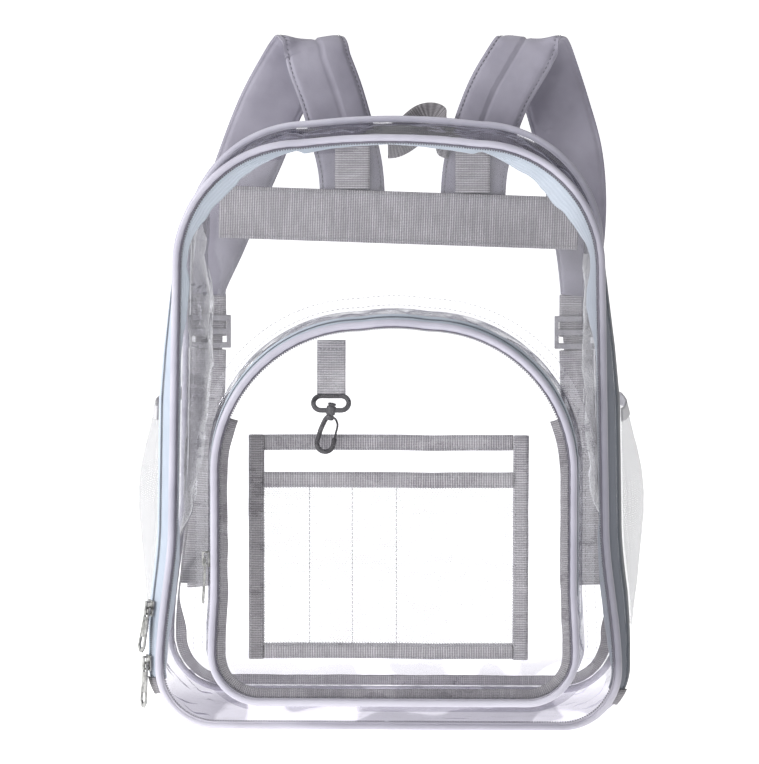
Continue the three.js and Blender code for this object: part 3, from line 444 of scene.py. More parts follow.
def film_material(name, clearest, edge, haze=0.02, ripple=0.25, rough=0.05, edge_from=0.35):
    """Clear soft film: it lets light through face on, and greys and mirrors towards the edge of sight. Near
    its bottom it has grey patches of painted reflection and weaker gloss.
    """
    n = Nodes(name)
    where = n.place(uv=False)
    broad = n.noise(where, 22, 2.0)
    fine = n.noise(where, 90, 2.0)
    height = n.math("ADD", n.math("MULTIPLY", broad, 1.0), n.math("MULTIPLY", fine, 0.25))
    normal = n.bump(height, ripple, 0.004)
    weight = n.add("ShaderNodeLayerWeight")
    weight.inputs["Blend"].default_value = 0.5
    n.put(weight, "Normal", normal)
    facing = weight.outputs["Facing"]
    tint = n.ramp(facing, [(0, clearest), (edge_from, clearest), (0.97, edge)])
    # Painted reflection: grey patches in the film's tint near its bottom.
    low = axis_share(n, 2, 0.045, 0.02)
    painted_reflection_noise = n.noise(n.place((1, 0.4, 1), uv=False), 17, 1.0)
    painted_reflection_patches = n.ramp(painted_reflection_noise, [(0.5, (0.95, 0.94, 0.97, 1)), (0.53, (0.66, 0.65, 0.69, 1))])
    tint = n.mix(low, tint, painted_reflection_patches)
    mirror = n.ramp(facing, [(0, (haze + 0.03,) * 3 + (1,)), (0.45, (0.07,) * 3 + (1,)),
                             (0.8, (0.3,) * 3 + (1,)), (1, (0.75,) * 3 + (1,))])
    clear = n.add("ShaderNodeBsdfTransparent")
    n.put(clear, "Color", tint)
    gloss = n.add("ShaderNodeBsdfGlossy")
    gloss.inputs["Roughness"].default_value = rough
    gloss.inputs["Color"].default_value = (0.92, 0.92, 0.95, 1)
    n.put(gloss, "Normal", normal)
    shader = n.add("ShaderNodeMixShader")
    n.put(shader, 0, n.math("MULTIPLY", mirror, n.ramp(low, [(0, 1.0), (1, 0.3)])))
    n.put(shader, 1, clear)
    n.put(shader, 2, gloss)
    return n.done(shader)


def axis_share(n, axis, start, stop):
    """0 to 1 between two places along an axis of the part, in metres."""
    split = n.add("ShaderNodeSeparateXYZ")
    n.put(split, 0, n.add("ShaderNodeTexCoord").outputs["Object"])
    node = n.add("ShaderNodeMapRange")
    n.put(node, "Value", split.outputs[axis])
    node.inputs["From Min"].default_value = start
    node.inputs["From Max"].default_value = stop
    return node.outputs[0]


def trim_material(name, colour, dark):
    """Soft vinyl over cord: a fine grain and slow changes of tone, with painted shade towards the right
    side (+X) and painted light near the bottom.
    """
    n = Nodes(name)
    where = n.place(uv=False)
    shade = n.mix(n.ramp(n.noise(where, 30, 3.0), [(0.35, 0.0), (0.7, 1.0)]), colour, dark)
    # Painted shade: darker towards the right side (+X), away from the key light.
    shade = n.mix(n.ramp(axis_share(n, 0, 0.11, 0.15), [(0, 0.0), (1, 0.6)]), shade, srgb(112, 110, 120))
    # Painted light: lighter near the bottom, as if lit from below by the floor.
    shade = n.mix(n.ramp(axis_share(n, 2, 0.05, 0.015), [(0, 0.0), (1, 0.8)]), shade, srgb(214, 211, 222))
    grain = n.noise(where, 2600, 2.0)
    normal = n.bump(grain, 0.12, 0.0004)
    return n.done(n.principled(shade, 0.38, normal, Sheen_Weight=0.15, Specular_IOR_Level=0.45))


def tape_material(name, light, dark, pitch=1.1, right_shade=(122, 125, 136)):
    """Woven zip tape: fine ribs along its length crossed by a finer twill, painted darker towards the right
    side (+X) as shade.
    """
    n = Nodes(name)
    where = n.place()
    along = n.wave(where, per_metre(pitch), 0.4, "Y")
    across = n.wave(where, per_metre(0.7), 0.6, "X")
    twill = n.math("ADD", n.math("MULTIPLY", across.outputs["Fac"], 0.5), 0.5)
    weave = n.math("MULTIPLY", along.outputs["Fac"], twill)
    blot = n.noise(n.place(uv=False), 60, 2.0)
    share = n.math("ADD", n.math("MULTIPLY", weave, 0.5), n.math("MULTIPLY", blot, 0.4), True)
    normal = n.bump(weave, 0.5, 0.0004)
    woven = n.mix(share, dark, light)
    # Painted shade: the tape darkens towards the right side (+X).
    woven = n.mix(n.ramp(axis_share(n, 0, 0.12, 0.15), [(0, 0.0), (1, 0.85)]), woven, srgb(*right_shade))
    return n.done(n.principled(woven, 0.82, normal, Sheen_Weight=0.25))


def ribbed_material(name, light, dark, pitch=1.6, contrast=1.0, depth=0.0006):
    """Ribbed webbing: ribs across its length, of uneven depth, with a fine cross weave."""
    n = Nodes(name)
    where = n.place()
    ribs = n.wave(where, per_metre(pitch), 1.2, "X", 4.0)
    cross = n.wave(where, per_metre(1.15), 1.6, "Y", 3.0)
    uneven = n.ramp(n.noise(n.place((1, 0.15, 1)), 240, 3.0, 0.7), [(0.3, 0.25), (0.7, 1.0)])
    rib = n.math("MULTIPLY", ribs.outputs["Fac"], uneven)
    weave = n.math("ADD", n.math("MULTIPLY", rib, 0.75), n.math("MULTIPLY", cross.outputs["Fac"], 0.25))
    share = n.ramp(weave, [(0.12, 0.0), (0.12 + 0.68 * contrast, 1.0)])
    blot = n.mix(n.ramp(n.noise(n.place(uv=False), 45, 3.0), [(0.3, 0.0), (0.75, 0.35)]), light, dark)
    normal = n.bump(weave, 0.8, depth)
    return n.done(n.principled(n.mix(share, dark, blot), 0.85, normal, Sheen_Weight=0.2))


def cloth_material(name, light, dark, wrinkle=0.25):
    """Smooth polyester over padding: a fine plain weave, soft wrinkles and sheen."""
    n = Nodes(name)
    where = n.place()
    warp = n.wave(where, per_metre(0.6), 0.3, "X")
    weft = n.wave(where, per_metre(0.6), 0.3, "Y")
    weave = n.math("MULTIPLY", warp.outputs["Fac"], weft.outputs["Fac"])
    room = n.place(uv=False)
    slow = n.noise(room, 26, 3.0)
    crumple = n.noise(room, 110, 3.0, 0.6)
    colour = n.mix(n.ramp(slow, [(0.3, 0.0), (0.75, 1.0)]), light, dark)
    first = n.bump(n.math("ADD", slow, n.math("MULTIPLY", crumple, 0.3)), wrinkle, 0.004)
    normal = n.bump(weave, 0.25, 0.0003, first)
    return n.done(n.principled(colour, 0.62, normal, Sheen_Weight=0.35, Sheen_Roughness=0.4,
                               Specular_IOR_Level=0.35))


def mesh_material(name, colour, pitch=2.4, solid=0.75, hole=0.12):
    """Knitted net: herringbone rows of threads with open holes between them."""
    n = Nodes(name)
    uv = n.add("ShaderNodeUVMap")
    split = n.add("ShaderNodeSeparateXYZ")
    n.put(split, 0, uv)
    zigzag = n.math("PINGPONG", split.outputs[0], 0.006)
    slant = n.math("ADD", split.outputs[1], zigzag)
    rows = n.math("SINE", n.math("MULTIPLY", slant, 2 * math.pi / (pitch * MM)))
    ties = n.math("SINE", n.math("MULTIPLY", split.outputs[0], 2 * math.pi / (0.75 * pitch * MM)))
    threads = n.math("MAXIMUM", rows, n.math("MULTIPLY", ties, 0.8))
    alpha = n.ramp(threads, [(0.0, hole), (0.55, 0.5 * (hole + solid)), (0.95, solid)])
    normal = n.bump(threads, 0.4, 0.0005)
    bsdf = n.principled(colour, 0.7, normal, Sheen_Weight=0.2)
    n.put(bsdf, "Alpha", alpha)
    return n.done(bsdf)


def plastic_material(name, colour, rough=0.42):
    """Moulded plastic with a fine grain and uneven gloss."""
    n = Nodes(name)
    where = n.place(uv=False)
    grain = n.noise(where, 1500, 2.0)
    scuff = n.ramp(n.noise(where, 180, 4.0, 0.6), [(0.3, rough - 0.08), (0.7, rough + 0.12)])
    normal = n.bump(grain, 0.15, 0.0003)
    return n.done(n.principled(colour, scuff, normal))


def metal_material(name, colour):
    """Plated zinc, a little worn."""
    n = Nodes(name)
    where = n.place(uv=False)
    worn = n.mix(n.ramp(n.noise(where, 260, 3.0), [(0.4, 0.0), (0.75, 1.0)]), colour, srgb(92, 92, 92))
    rough = n.ramp(n.noise(where, 500, 3.0), [(0.3, 0.24), (0.7, 0.42)])
    normal = n.bump(n.noise(where, 900, 2.0), 0.1, 0.0003)
    return n.done(n.principled(worn, rough, normal, Metallic=1.0))


def thread_material(name, colour):
    """Twisted sewing thread."""
    n = Nodes(name)
    twist = n.wave(n.place(uv=False, turn=0.7), per_metre(0.5), 0.3, "DIAGONAL")
    shade = n.mix(twist.outputs["Fac"], colour, tuple(0.6 * v for v in colour[:3]) + (1,))
    return n.done(n.principled(shade, 0.6, n.bump(twist.outputs["Fac"], 0.4, 0.0002), Sheen_Weight=0.2))


FILM = film_material("clear_film", (0.985, 0.985, 0.99, 1), (0.42, 0.42, 0.46, 1))
WALL_FILM = film_material("clear_wall_film", (0.96, 0.96, 0.97, 1), (0.16, 0.16, 0.2, 1), 0.05, 1.1, 0.05,
                          0.12)
# The piping is painted darker on its right side and lighter near its bottom in trim_material.
TRIM = trim_material("piping", srgb(188, 186, 199), srgb(170, 168, 182))
# A dark copy of the piping: painted shade for the shadow in the crease beside each bead.
CREASE_SHADOW_TRIM = trim_material("piping_crease_shadow", srgb(104, 101, 114), srgb(84, 82, 94))
# Each zip tape darkens towards the right side as painted shade; the rear tape's painted shade there is near
# black.
TAPE = tape_material("zip_tape", srgb(194, 202, 214), srgb(160, 171, 186), right_shade=(92, 94, 102))
REAR_TAPE = tape_material("rear_zip_tape", srgb(208, 216, 228), srgb(166, 178, 194), right_shade=(44, 44, 48))
INNER_TAPE = tape_material("inner_tape", srgb(206, 214, 224), srgb(176, 186, 198))
TEETH = plastic_material("zip_teeth", srgb(112, 118, 128), 0.35)
BINDING = ribbed_material("binding", srgb(190, 187, 192), srgb(112, 109, 114), 1.4, 1.1)
WEBBING = ribbed_material("webbing", srgb(214, 211, 216), srgb(128, 125, 130), 1.7)
PALE_BINDING = ribbed_material("pale_binding", srgb(236, 235, 238), srgb(190, 189, 193), 1.4, 1.1)
DARK_WEBBING = ribbed_material("dark_webbing", srgb(166, 162, 166), srgb(98, 95, 99), 1.7)
GREY_PLASTIC = plastic_material("grey_plastic", srgb(150, 148, 154))
STRAP = cloth_material("strap_cloth", srgb(154, 151, 164), srgb(128, 125, 138))
NET = mesh_material("net", srgb(206, 206, 210), 2.0, 0.55, 0.10)
SIDE_NET = mesh_material("side_net", srgb(182, 182, 186), 1.7, 0.78, 0.12)
PLASTIC = plastic_material("dark_plastic", srgb(58, 56, 60))
NICKEL = metal_material("nickel", srgb(176, 176, 174))
# A lighter copy of the webbing for the key tab, which sits behind two films: painted light.
LIT_KEY_WEBBING = ribbed_material("key_webbing", srgb(240, 237, 241), srgb(158, 155, 160), 1.7)
THREAD = thread_material("thread", srgb(168, 167, 174))
DARK_THREAD = thread_material("dark_thread", srgb(96, 95, 104))
TICK = thread_material("tick_thread", srgb(128, 126, 136))


# Film
def film_panel(name, loop, y_at, amplitude, node, seed):
    """A panel of film inside a loop, made of rings that close in on its middle."""
    centre_x = loop.x.mean()
    centre_z = (loop.z.min() + loop.z.max()) / 2
    shares = np.sin(np.linspace(0, math.pi / 2, 46))[::-1]
    x = centre_x + (loop.x[:, None] - centre_x) * shares
    z = centre_z + (loop.z[:, None] - centre_z) * shares
    where = xyz(x, z, seed)
    edge = smooth((1 - shares) / 0.05)
    wave = noise(where, 1 / 60, 2) * amplitude + noise(where, 1 / 17, 2) * 0.25 * amplitude
    points = xyz(x, y_at(z) + wave * edge, z)
    thing = grid(name, points, FILM, hoop=True)
    bmesh_weld(thing)
    settle(thing, "clear_film", node)
    return thing


def bmesh_weld(thing, distance=0.00002):
    """Joins points that lie on each other, in metres."""
    bm = bmesh.new()
    bm.from_mesh(thing.data)
    bmesh.ops.remove_doubles(bm, verts=bm.verts, dist=distance)
    bm.to_mesh(thing.data)
    bm.free()


def add_panels():
    film_panel("front_film", body, lambda z: FRONT_Y + 0 * z, 1.1, "front_panel", 3)
    film_panel("back_film", body, lambda z: BACK_Y + 0 * z, 1.0, "back_panel", 9)
    film_panel("pocket_film", pocket, lambda z: pocket_y(z), 0.9, "pocket_panel", 15)


def add_gusset_film():
    """The body's gusset: full behind the zip, and down to the front seam under the zip's ends."""
    st = stretch(body, zip_run[1] - body.total, zip_run[1], 2.5)
    run = np.linspace(zip_run[1] - body.total, zip_run[1], len(st.x))
    inside = (smooth((run - zip_run[0]) / 4 + 0.5) * smooth((zip_run[1] - run) / 4 + 0.5))[:, None]
    first = TAPE_FROM + (FILM_FROM - TAPE_FROM) * inside
    shares = first + (1 - SEAM - first) * np.linspace(0, 1, 64)[None, :]
    out = np.empty_like(shares)
    for i in range(len(st.x)):
        one = Loop([st.x[i]], [st.z[i]], [st.nx[i]], [st.nz[i]])
        out[i] = skin_out(one, shares[i])[0]
    y = FRONT_Y + DEPTH * shares
    where = carry(st, out, y)
    edge = smooth((shares - first) / 0.05) * smooth((1 - SEAM - shares) / 0.04)
    corner = smooth(np.abs(st.nx * np.minimum(st.nz, 0)) * 4)[:, None]
    crown = smooth(st.nz * 1.2)[:, None]
    flat = smooth((1 + st.nz) * 40)[:, None]
    # The walls sag inwards between the zip and the back seam
    height = st.z[:, None]
    left_sag = np.interp(height, SAG_HEIGHTS, LEFT_SAG)
    right_sag = np.interp(height, SAG_HEIGHTS, RIGHT_SAG)
    sag = np.where(st.nx[:, None] < 0, left_sag, right_sag) * np.clip(st.nx[:, None] ** 2, 0, 1)
    slump = smooth((shares - 0.13) / 0.36) * smooth((1 - SEAM - shares) / 0.3)
    dent = noise(where, 1 / 55, 2) * 2.2 + noise(where * (1, 0.35, 1), 1 / 22, 2) * 0.9
    shifts = noise(where * (1, 0.3, 1.4), 1 / 32, 3) * np.clip(sag / 8, 0, 1) * 3.2
    crease = np.clip(ridges(where, 1 / 30), 0, 1) ** 3 * -3.2 * corner
    fold = np.clip(ridges(where * (1, 0.5, 1), 1 / 26), 0, 1) ** 3 * -1.6 * crown
    hollow = sag + np.clip(out, 0, 20) * np.clip(sag / 8, 0, 1)
    out = out + edge * flat * (dent - 1.2 + crease + fold + shifts) - slump * hollow
    under = smooth((-st.nz[:, None] - 0.9) / 0.1)
    facets = np.clip(ridges(where * (1, 1.6, 1), 1 / 46), 0, 1) ** 2 * 1.6
    facets = facets + np.abs(noise(where, 1 / 30, 2)) * 1.2
    out = out - under * edge * (0.7 + facets)
    gusset = grid("gusset_film", carry(st, out, y), WALL_FILM)
    settle(gusset, "clear_film", "gusset")


def add_pocket_gusset_film():
    """The pocket's gusset, with a hem sewn to the front film."""
    st = stretch(pocket, pocket_run[1] - pocket.total, pocket_run[1], 2.5)
    run = np.linspace(pocket_run[1] - pocket.total, pocket_run[1], len(st.x))
    inside = smooth((run - pocket_run[0]) / 4 + 0.5) * smooth((pocket_run[1] - run) / 4 + 0.5)
    start = PIPING / 2 + GAP
    rear = start + 2 * POCKET_TAPE + 2 * GAP + COIL_WIDTH - 1.5
    first = (start + (rear - start) * inside)[:, None]
    deep = (WALL_Y - pocket_y(st.z))[:, None] - 0.6
    behind = first + (deep - first) * np.linspace(0, 1, 22)[None, :]
    out, y = pocket_side(st, behind)
    where = carry(st, out, y)
    edge = smooth((behind - first) / 5) * smooth((deep - behind) / 5)
    out = out + edge * (noise(where, 1 / 40, 2) * 1.6 + np.clip(ridges(where, 1 / 24), 0, 1) ** 3 * -1.6)
    hem = out[:, -1:] + np.linspace(0.6, POCKET_HEM, 6)[None, :]
    hem_y = np.full_like(hem, WALL_Y - 0.1) - 0.3 * noise(carry(st, hem, np.full_like(hem, 0.0)), 1 / 14, 2)
    both = carry(st, np.hstack([out, hem]), np.hstack([y, hem_y]))
    gusset = grid("pocket_gusset_film", both, WALL_FILM)
    settle(gusset, "clear_film", "pocket_gusset")


# Seams
def tube_section(out, y, radius, sides=14):
    """A round section about a place beside a seam."""
    a = np.arange(sides) / sides * 2 * math.pi
    return out + radius * np.cos(a), y + radius * np.sin(a)


def add_piping(name, loop, y_at, node, seed):
    """A round bead on a seam, drawn in a little where its cover is stitched."""
    a = np.arange(16) / 16 * 2 * math.pi
    run = loop.s[:, None]
    wobble = 0.10 * noise(xyz(loop.x, loop.z, seed), 1 / 13, 2)[:, None]
    pinch = 1 + 0.035 * np.sin(run * 2 * math.pi / 3.4) * np.clip(-np.cos(a), 0, 1)[None, :]
    radius = (PIPING / 2 + 0.25 + wobble) * pinch
    out = GAP + PIPING / 2 + radius * np.cos(a)
    y = y_at(loop.z)[:, None] + radius * np.sin(a)
    thing = grid(name, carry(loop, out, y), TRIM, hoop=True, round_section=True)
    return settle(outward(thing), "piping", node)


def add_stitches(name, centres, along, normals, material, slot, length=2.3, pitch=3.3, radius=0.28):
    """Stitches as short threads that dip into the cloth at both ends, at a pitch along a path."""
    centres, along, normals = (np.asarray(v, float) for v in (centres, along, normals))
    steps = np.linalg.norm(np.diff(centres, axis=0), axis=-1)
    run = np.concatenate([[0], np.cumsum(steps)])
    stops = np.arange(pitch / 2, run[-1], pitch)

    def pick(values):
        return np.stack([np.interp(stops, run, values[:, k]) for k in range(3)], -1)

    c, t, n = pick(centres), pick(along), pick(normals)
    t /= np.linalg.norm(t, axis=-1, keepdims=True)
    n /= np.linalg.norm(n, axis=-1, keepdims=True)
    side = np.cross(t, n)
    rings, sides = 5, 6
    u = np.linspace(-0.5, 0.5, rings)
    a = np.arange(sides) / sides * 2 * math.pi
    lift = radius * (1 - (2 * u) ** 2 * 1.6)
    points = (c[:, None, None, :] + t[:, None, None, :] * (u * length)[None, :, None, None]
              + n[:, None, None, :] * (lift[None, :, None] + radius * np.sin(a)[None, None, :])[..., None]
              + side[:, None, None, :] * (radius * np.cos(a))[None, None, :, None])
    base = np.arange(rings * sides).reshape(rings, sides)
    one = []
    for i in range(rings - 1):
        for j in range(sides):
            k = (j + 1) % sides
            one.append([base[i, j], base[i, k], base[i + 1, k], base[i + 1, j]])
    ends = [base[0][::-1].tolist(), base[-1].tolist()]
    count = rings * sides
    faces = []
    for s in range(len(stops)):
        faces += [[int(v) + s * count for v in face] for face in one + ends]
    return settle(make(name, points, faces, material), slot)


def seam_stitches(name, loop, out, y_at, material, slot, facing=-1, **sizes):
    """A row of stitches beside a seam, on a panel that faces along Y."""
    x, z = loop.x + loop.nx * out, loop.z + loop.nz * out
    centres = xyz(x, y_at(z), z)
    along = xyz(-loop.nz, 0, loop.nx)
    normals = xyz(0 * x, facing, 0)
    return add_stitches(name, centres, along, normals, material, slot, **sizes)


def closed_strip(upper, lower):
    """A closed section from an upper and a lower line, each a pair (out, y)."""
    return np.hstack([upper[0], lower[0][:, ::-1]]), np.hstack([upper[1], lower[1][:, ::-1]])


def body_strip(name, run, shares, thick, lift, material, slot, node):
    """A flat strip on the body's skin, between two shares of the depth."""
    st = stretch(body, *run, 2.5)
    d = np.linspace(*shares, 8)
    out, y = closed_strip(skin_line(st, d, lift), skin_line(st, d, lift - thick))
    thing = grid(name, carry(st, out, y), material, round_section=True, caps=True)
    return settle(outward(thing), slot, node)


def pocket_strip(name, run, behind, thick, lift, material, slot, node):
    """A flat strip on the pocket's side, between two distances behind its front seam."""
    st = stretch(pocket, *run, 2.5)
    b = np.linspace(*behind, 6)
    out, y = closed_strip(pocket_side(st, b, lift), pocket_side(st, b, lift - thick))
    thing = grid(name, carry(st, out, y), material, round_section=True, caps=True)
    return settle(outward(thing), slot, node)


def add_coil(name, line, node, pitch=1.5, width=3.0, radius=0.52):
    """Coil teeth across a zip: line gives each place's middle, its direction across and its normal."""
    middle, across, normal = line
    steps = np.linalg.norm(np.diff(middle, axis=0), axis=-1)
    run = np.concatenate([[0], np.cumsum(steps)])
    stops = np.arange(0.8, run[-1] - 0.8, pitch / 2)

    def pick(values):
        out = np.stack([np.interp(stops, run, values[:, k]) for k in range(3)], -1)
        return out if values is middle else out / np.linalg.norm(out, axis=-1, keepdims=True)

    c, w, n = pick(middle), pick(across), pick(normal)
    t = np.cross(w, n)
    hand = np.where(np.arange(len(stops)) % 2 == 0, 1.0, -1.0)
    c = c + w * (hand * 0.32 * width / 2)[:, None]
    rings, sides = 6, 6
    u = np.linspace(-0.5, 0.5, rings)
    a = np.arange(sides) / sides * 2 * math.pi
    arch = 0.55 - 2.2 * u ** 2
    thin = np.where(np.abs(u) > 0.45, 0.55, 1.0)
    points = (c[:, None, None, :] + w[:, None, None, :] * (u * 0.72 * width)[None, :, None, None]
              + n[:, None, None, :] * (0.9 * arch[:, None] + (radius * thin)[:, None] * np.sin(a))[...,
                                                                                                   None]
              + t[:, None, None, :] * ((radius * 0.62 * thin)[:, None] * np.cos(a))[..., None])
    base = np.arange(rings * sides).reshape(rings, sides)
    one = [[base[i, j], base[i, (j + 1) % sides], base[i + 1, (j + 1) % sides], base[i + 1, j]]
           for i in range(rings - 1) for j in range(sides)]
    one += [base[0][::-1].tolist(), base[-1].tolist()]
    count = rings * sides
    faces = [[int(v) + s * count for v in face] for s in range(len(stops)) for face in one]
    return settle(make(name, points, faces, TEETH), "zip_coil", node)


def add_zips():
    """Both zips: two tapes each, with coil teeth between them."""
    body_strip("main_zip_front_tape", zip_run, (TAPE_FROM, TAPE_TO + 0.3 / DEPTH), 0.8, 0.1, TAPE,
               "zip_tape", "zip_front_tape")
    body_strip("main_zip_rear_tape", zip_run, (REAR_FROM - 0.3 / DEPTH, REAR_TO), 0.8, 0.1, REAR_TAPE,
               "zip_tape", "zip_rear_tape")
    st = stretch(body, *zip_run, 2.0)
    d = np.array([COIL_FROM, COIL_TO])
    low_out, low_y = skin_line(st, d, -0.1)
    high_out, high_y = skin_line(st, d, 1.0)
    low, high = carry(st, low_out, low_y), carry(st, high_out, high_y)
    across = low[:, 1] - low[:, 0]
    add_coil("main_zip_coil", (low.mean(1), across, (high - low).mean(1)), "zip_coil")

    start = PIPING / 2 + GAP
    coil = start + POCKET_TAPE + GAP
    rear = coil + COIL_WIDTH + GAP
    pocket_strip("pocket_zip_front", pocket_run, (start, coil), 0.8, 0.1, TAPE, "zip_tape",
                 "pocket_zip_front_tape")
    pocket_strip("pocket_zip_rear", pocket_run, (rear - 0.3, rear + POCKET_TAPE), 0.8, 0.1, REAR_TAPE,
                 "zip_tape", "pocket_zip_rear_tape")
    st = stretch(pocket, *pocket_run, 2.0)
    b = np.array([coil, coil + COIL_WIDTH])
    low_out, low_y = pocket_side(st, b, -0.1)
    high_out, high_y = pocket_side(st, b, 1.0)
    low, high = carry(st, low_out, low_y), carry(st, high_out, high_y)
    add_coil("pocket_zip_teeth", (low.mean(1), low[:, 1] - low[:, 0], (high - low).mean(1)),
             "pocket_zip_coil")


def add_binding(name, loop, width, y_near, direction, rise, material, slot, node, seed, wavy=1.0):
    """A bound seam allowance: a strip from the seam inwards whose free edge waves."""
    width = np.broadcast_to(width, loop.x.shape)[:, None]
    u = np.linspace(0, 1, 7)[None, :]
    along = xyz(loop.x, loop.z, seed)
    sway = noise(along, 1 / 20, 2)[:, None]
    pucker = noise(along, 1 / 8, 2)[:, None]
    reach = width * (1 + 0.14 * wavy * sway)
    out = -0.8 - u * (reach - 0.8)
    y = y_near[:, None] + direction * (rise * u * reach + wavy * u ** 2 * (1.5 + 1.5 * sway + 0.5 * pucker))
    section = closed_strip((out, y), (out, y + direction * 0.9))
    thing = grid(name, carry(loop, *section), material, round_section=True, caps=True)
    return settle(outward(thing), slot, node)


def add_crease_shadow(name, loop, out, y_at, radius):
    """A thin cord where a piping's cover meets the film, painted dark as the shadow in that crease."""
    y = (y_at(loop.z) + 0 * loop.z)[:, None]
    thing = grid(name, carry(loop, *tube_section(out + 0 * y, y, radius, 8)), CREASE_SHADOW_TRIM, hoop=True,
                 round_section=True)
    return settle(outward(thing), "piping")


def add_seams():
    """Piping beads, dark cords painted as the shadow in their creases, stitches, and the tapes that bind
    the seams inside.
    """
    # Dark cords beside the front and pocket piping: painted shade standing in for the crease shadow.
    add_crease_shadow("front_piping_crease_shadow", body, -0.3, lambda z: FRONT_Y - 0.5, 0.75)
    add_crease_shadow("pocket_piping_crease_shadow", pocket, -0.3, lambda z: pocket_y(z) - 0.4, 0.7)
    add_piping("front_piping_bead", body, lambda z: FRONT_Y + 0 * z, "front_piping", 1)
    add_piping("back_piping_bead", body, lambda z: BACK_Y + 0 * z, "back_piping", 2)
    add_piping("pocket_piping_bead", pocket, pocket_y, "pocket_piping", 4)
    seam_stitches("front_seam_stitches", body, -1.5, lambda z: FRONT_Y - 0.5 + 0 * z, TICK, "zip_tape",
                  length=1.1, pitch=1.8, radius=0.42)
    seam_stitches("back_seam_stitches", body, -1.3, lambda z: BACK_Y + 0.2 + 0 * z, THREAD, "binding",
                  facing=1)
    seam_stitches("pocket_seam_stitches", pocket, -1.4, lambda z: pocket_y(z) - 0.4, TICK, "zip_tape",
                  length=1.1, pitch=1.8, radius=0.38)
    arch = stretch(pocket, height_run(pocket, 60), pocket.total - height_run(pocket, 60))
    for row, out in enumerate((POCKET_FLARE + 6, POCKET_FLARE + 12.5)):
        seam_stitches(f"pocket_hem_stitches_{row}", arch, out, lambda z: WALL_Y - 0.35 + 0 * z, THREAD,
                      "zip_tape", length=1.9, pitch=3.6, radius=0.2)

    zipped = stretch(body, *zip_run)
    corner = np.clip(2 * np.abs(zipped.nx) * zipped.nz, 0, 1)
    corner = corner + 0.55 * smooth((zipped.z - 262) / 50) * smooth((350 - zipped.z) / 40)
    path = xyz(zipped.x, zipped.z, 0)
    frayed = noise(path, 1 / 21, 3) * 3.0 * np.clip(corner * 2, 0, 1)
    tape_width = np.clip(2.4 + 11 * np.clip(corner, 0, 1) + frayed, 2.2, 15)
    add_binding("front_seam_tape", zipped, tape_width, np.full_like(zipped.x, FRONT_Y + 0.8), 1, 0.45,
                INNER_TAPE, "zip_tape", "front_seam_binding", 5, 0.5)
    whole = body.at(np.linspace(0, body.total, 560), body.total)
    shown = 1 - smooth((whole.z - 45) / 30) * smooth((405 - whole.z) / 25)
    add_binding("back_seam_tape", whole, 2.2 + 6.8 * shown, np.full_like(whole.x, BACK_Y - 0.8), -1, 0.45,
                BINDING, "binding", "back_seam_binding", 6, 0.5)
    bound = stretch(pocket, -height_run(pocket, 228), height_run(pocket, 228))
    add_binding("pocket_seam_tape", bound, 7, pocket_y(bound.z) + 0.8, 1, 0.25, BINDING, "binding",
                "pocket_seam_binding", 8, 1.0)


# Ribbons, webbing and straps
def spline(rows, count):
    """A smooth line through rows of numbers, sampled evenly between its rows."""
    rows = np.asarray(rows, float)
    padded = np.vstack([2 * rows[0] - rows[1], rows, 2 * rows[-1] - rows[-2]])
    t = np.linspace(0, len(rows) - 1 - 1e-9, count)
    i = t.astype(int)
    f = (t - i)[:, None]
    a, b, c, d = (padded[i + k] for k in range(4))
    curve = 2 * b + (c - a) * f + (2 * a - 5 * b + 4 * c - d) * f ** 2
    return 0.5 * (curve + (3 * b - a - 3 * c + d) * f ** 3)


def unit(v):
    """Vectors scaled to a length of 1."""
    return v / np.linalg.norm(v, axis=-1, keepdims=True)


def frames_along(centres, across):
    """Unit directions along, across and out of a ribbon's face."""
    along = unit(np.gradient(centres, axis=0))
    across = np.broadcast_to(np.asarray(across, float), centres.shape)
    across = unit(across - along * (along * across).sum(-1, keepdims=True))
    return along, across, np.cross(along, across)


def ribbon(name, centres, across, width, thick, material, columns=11, pucker=0.0, seed=0.0, round_edge=0.7):
    """A flat woven ribbon with soft edges along a line."""
    centres = np.asarray(centres, float)
    across, face = frames_along(centres, across)[1:]
    u = np.linspace(-0.5, 0.5, columns)
    half = 0.5 * (1 - round_edge * np.abs(2 * u) ** 8)
    width = np.broadcast_to(width, len(centres))[:, None]
    thick = np.broadcast_to(thick, len(centres))[:, None]
    u_all = np.concatenate([u, u[::-1]])[None, :]
    v_all = np.concatenate([half, -half[::-1]])[None, :] * thick
    points = centres[:, None] + across[:, None] * (u_all * width)[..., None]
    lift = pucker * noise(points + seed * 31, 1 / 16, 2)
    points = points + face[:, None] * (v_all + lift)[..., None]
    thing = grid(name, points, material, round_section=True, caps=True)
    return outward(thing)


def edge_stitches(name, centres, across, face, width, thick, inset, material, slot, **sizes):
    """Two rows of stitches along a ribbon, one near each edge, on the face given by a sign."""
    centres = np.asarray(centres, float)
    along, across, normal = frames_along(centres, across)
    for row, side in (("a", -1), ("b", 1)):
        where = centres + across * side * (width / 2 - inset) + normal * face * thick * 0.5
        add_stitches(f"{name}_{row}", where, along, normal * face, material, slot, **sizes)


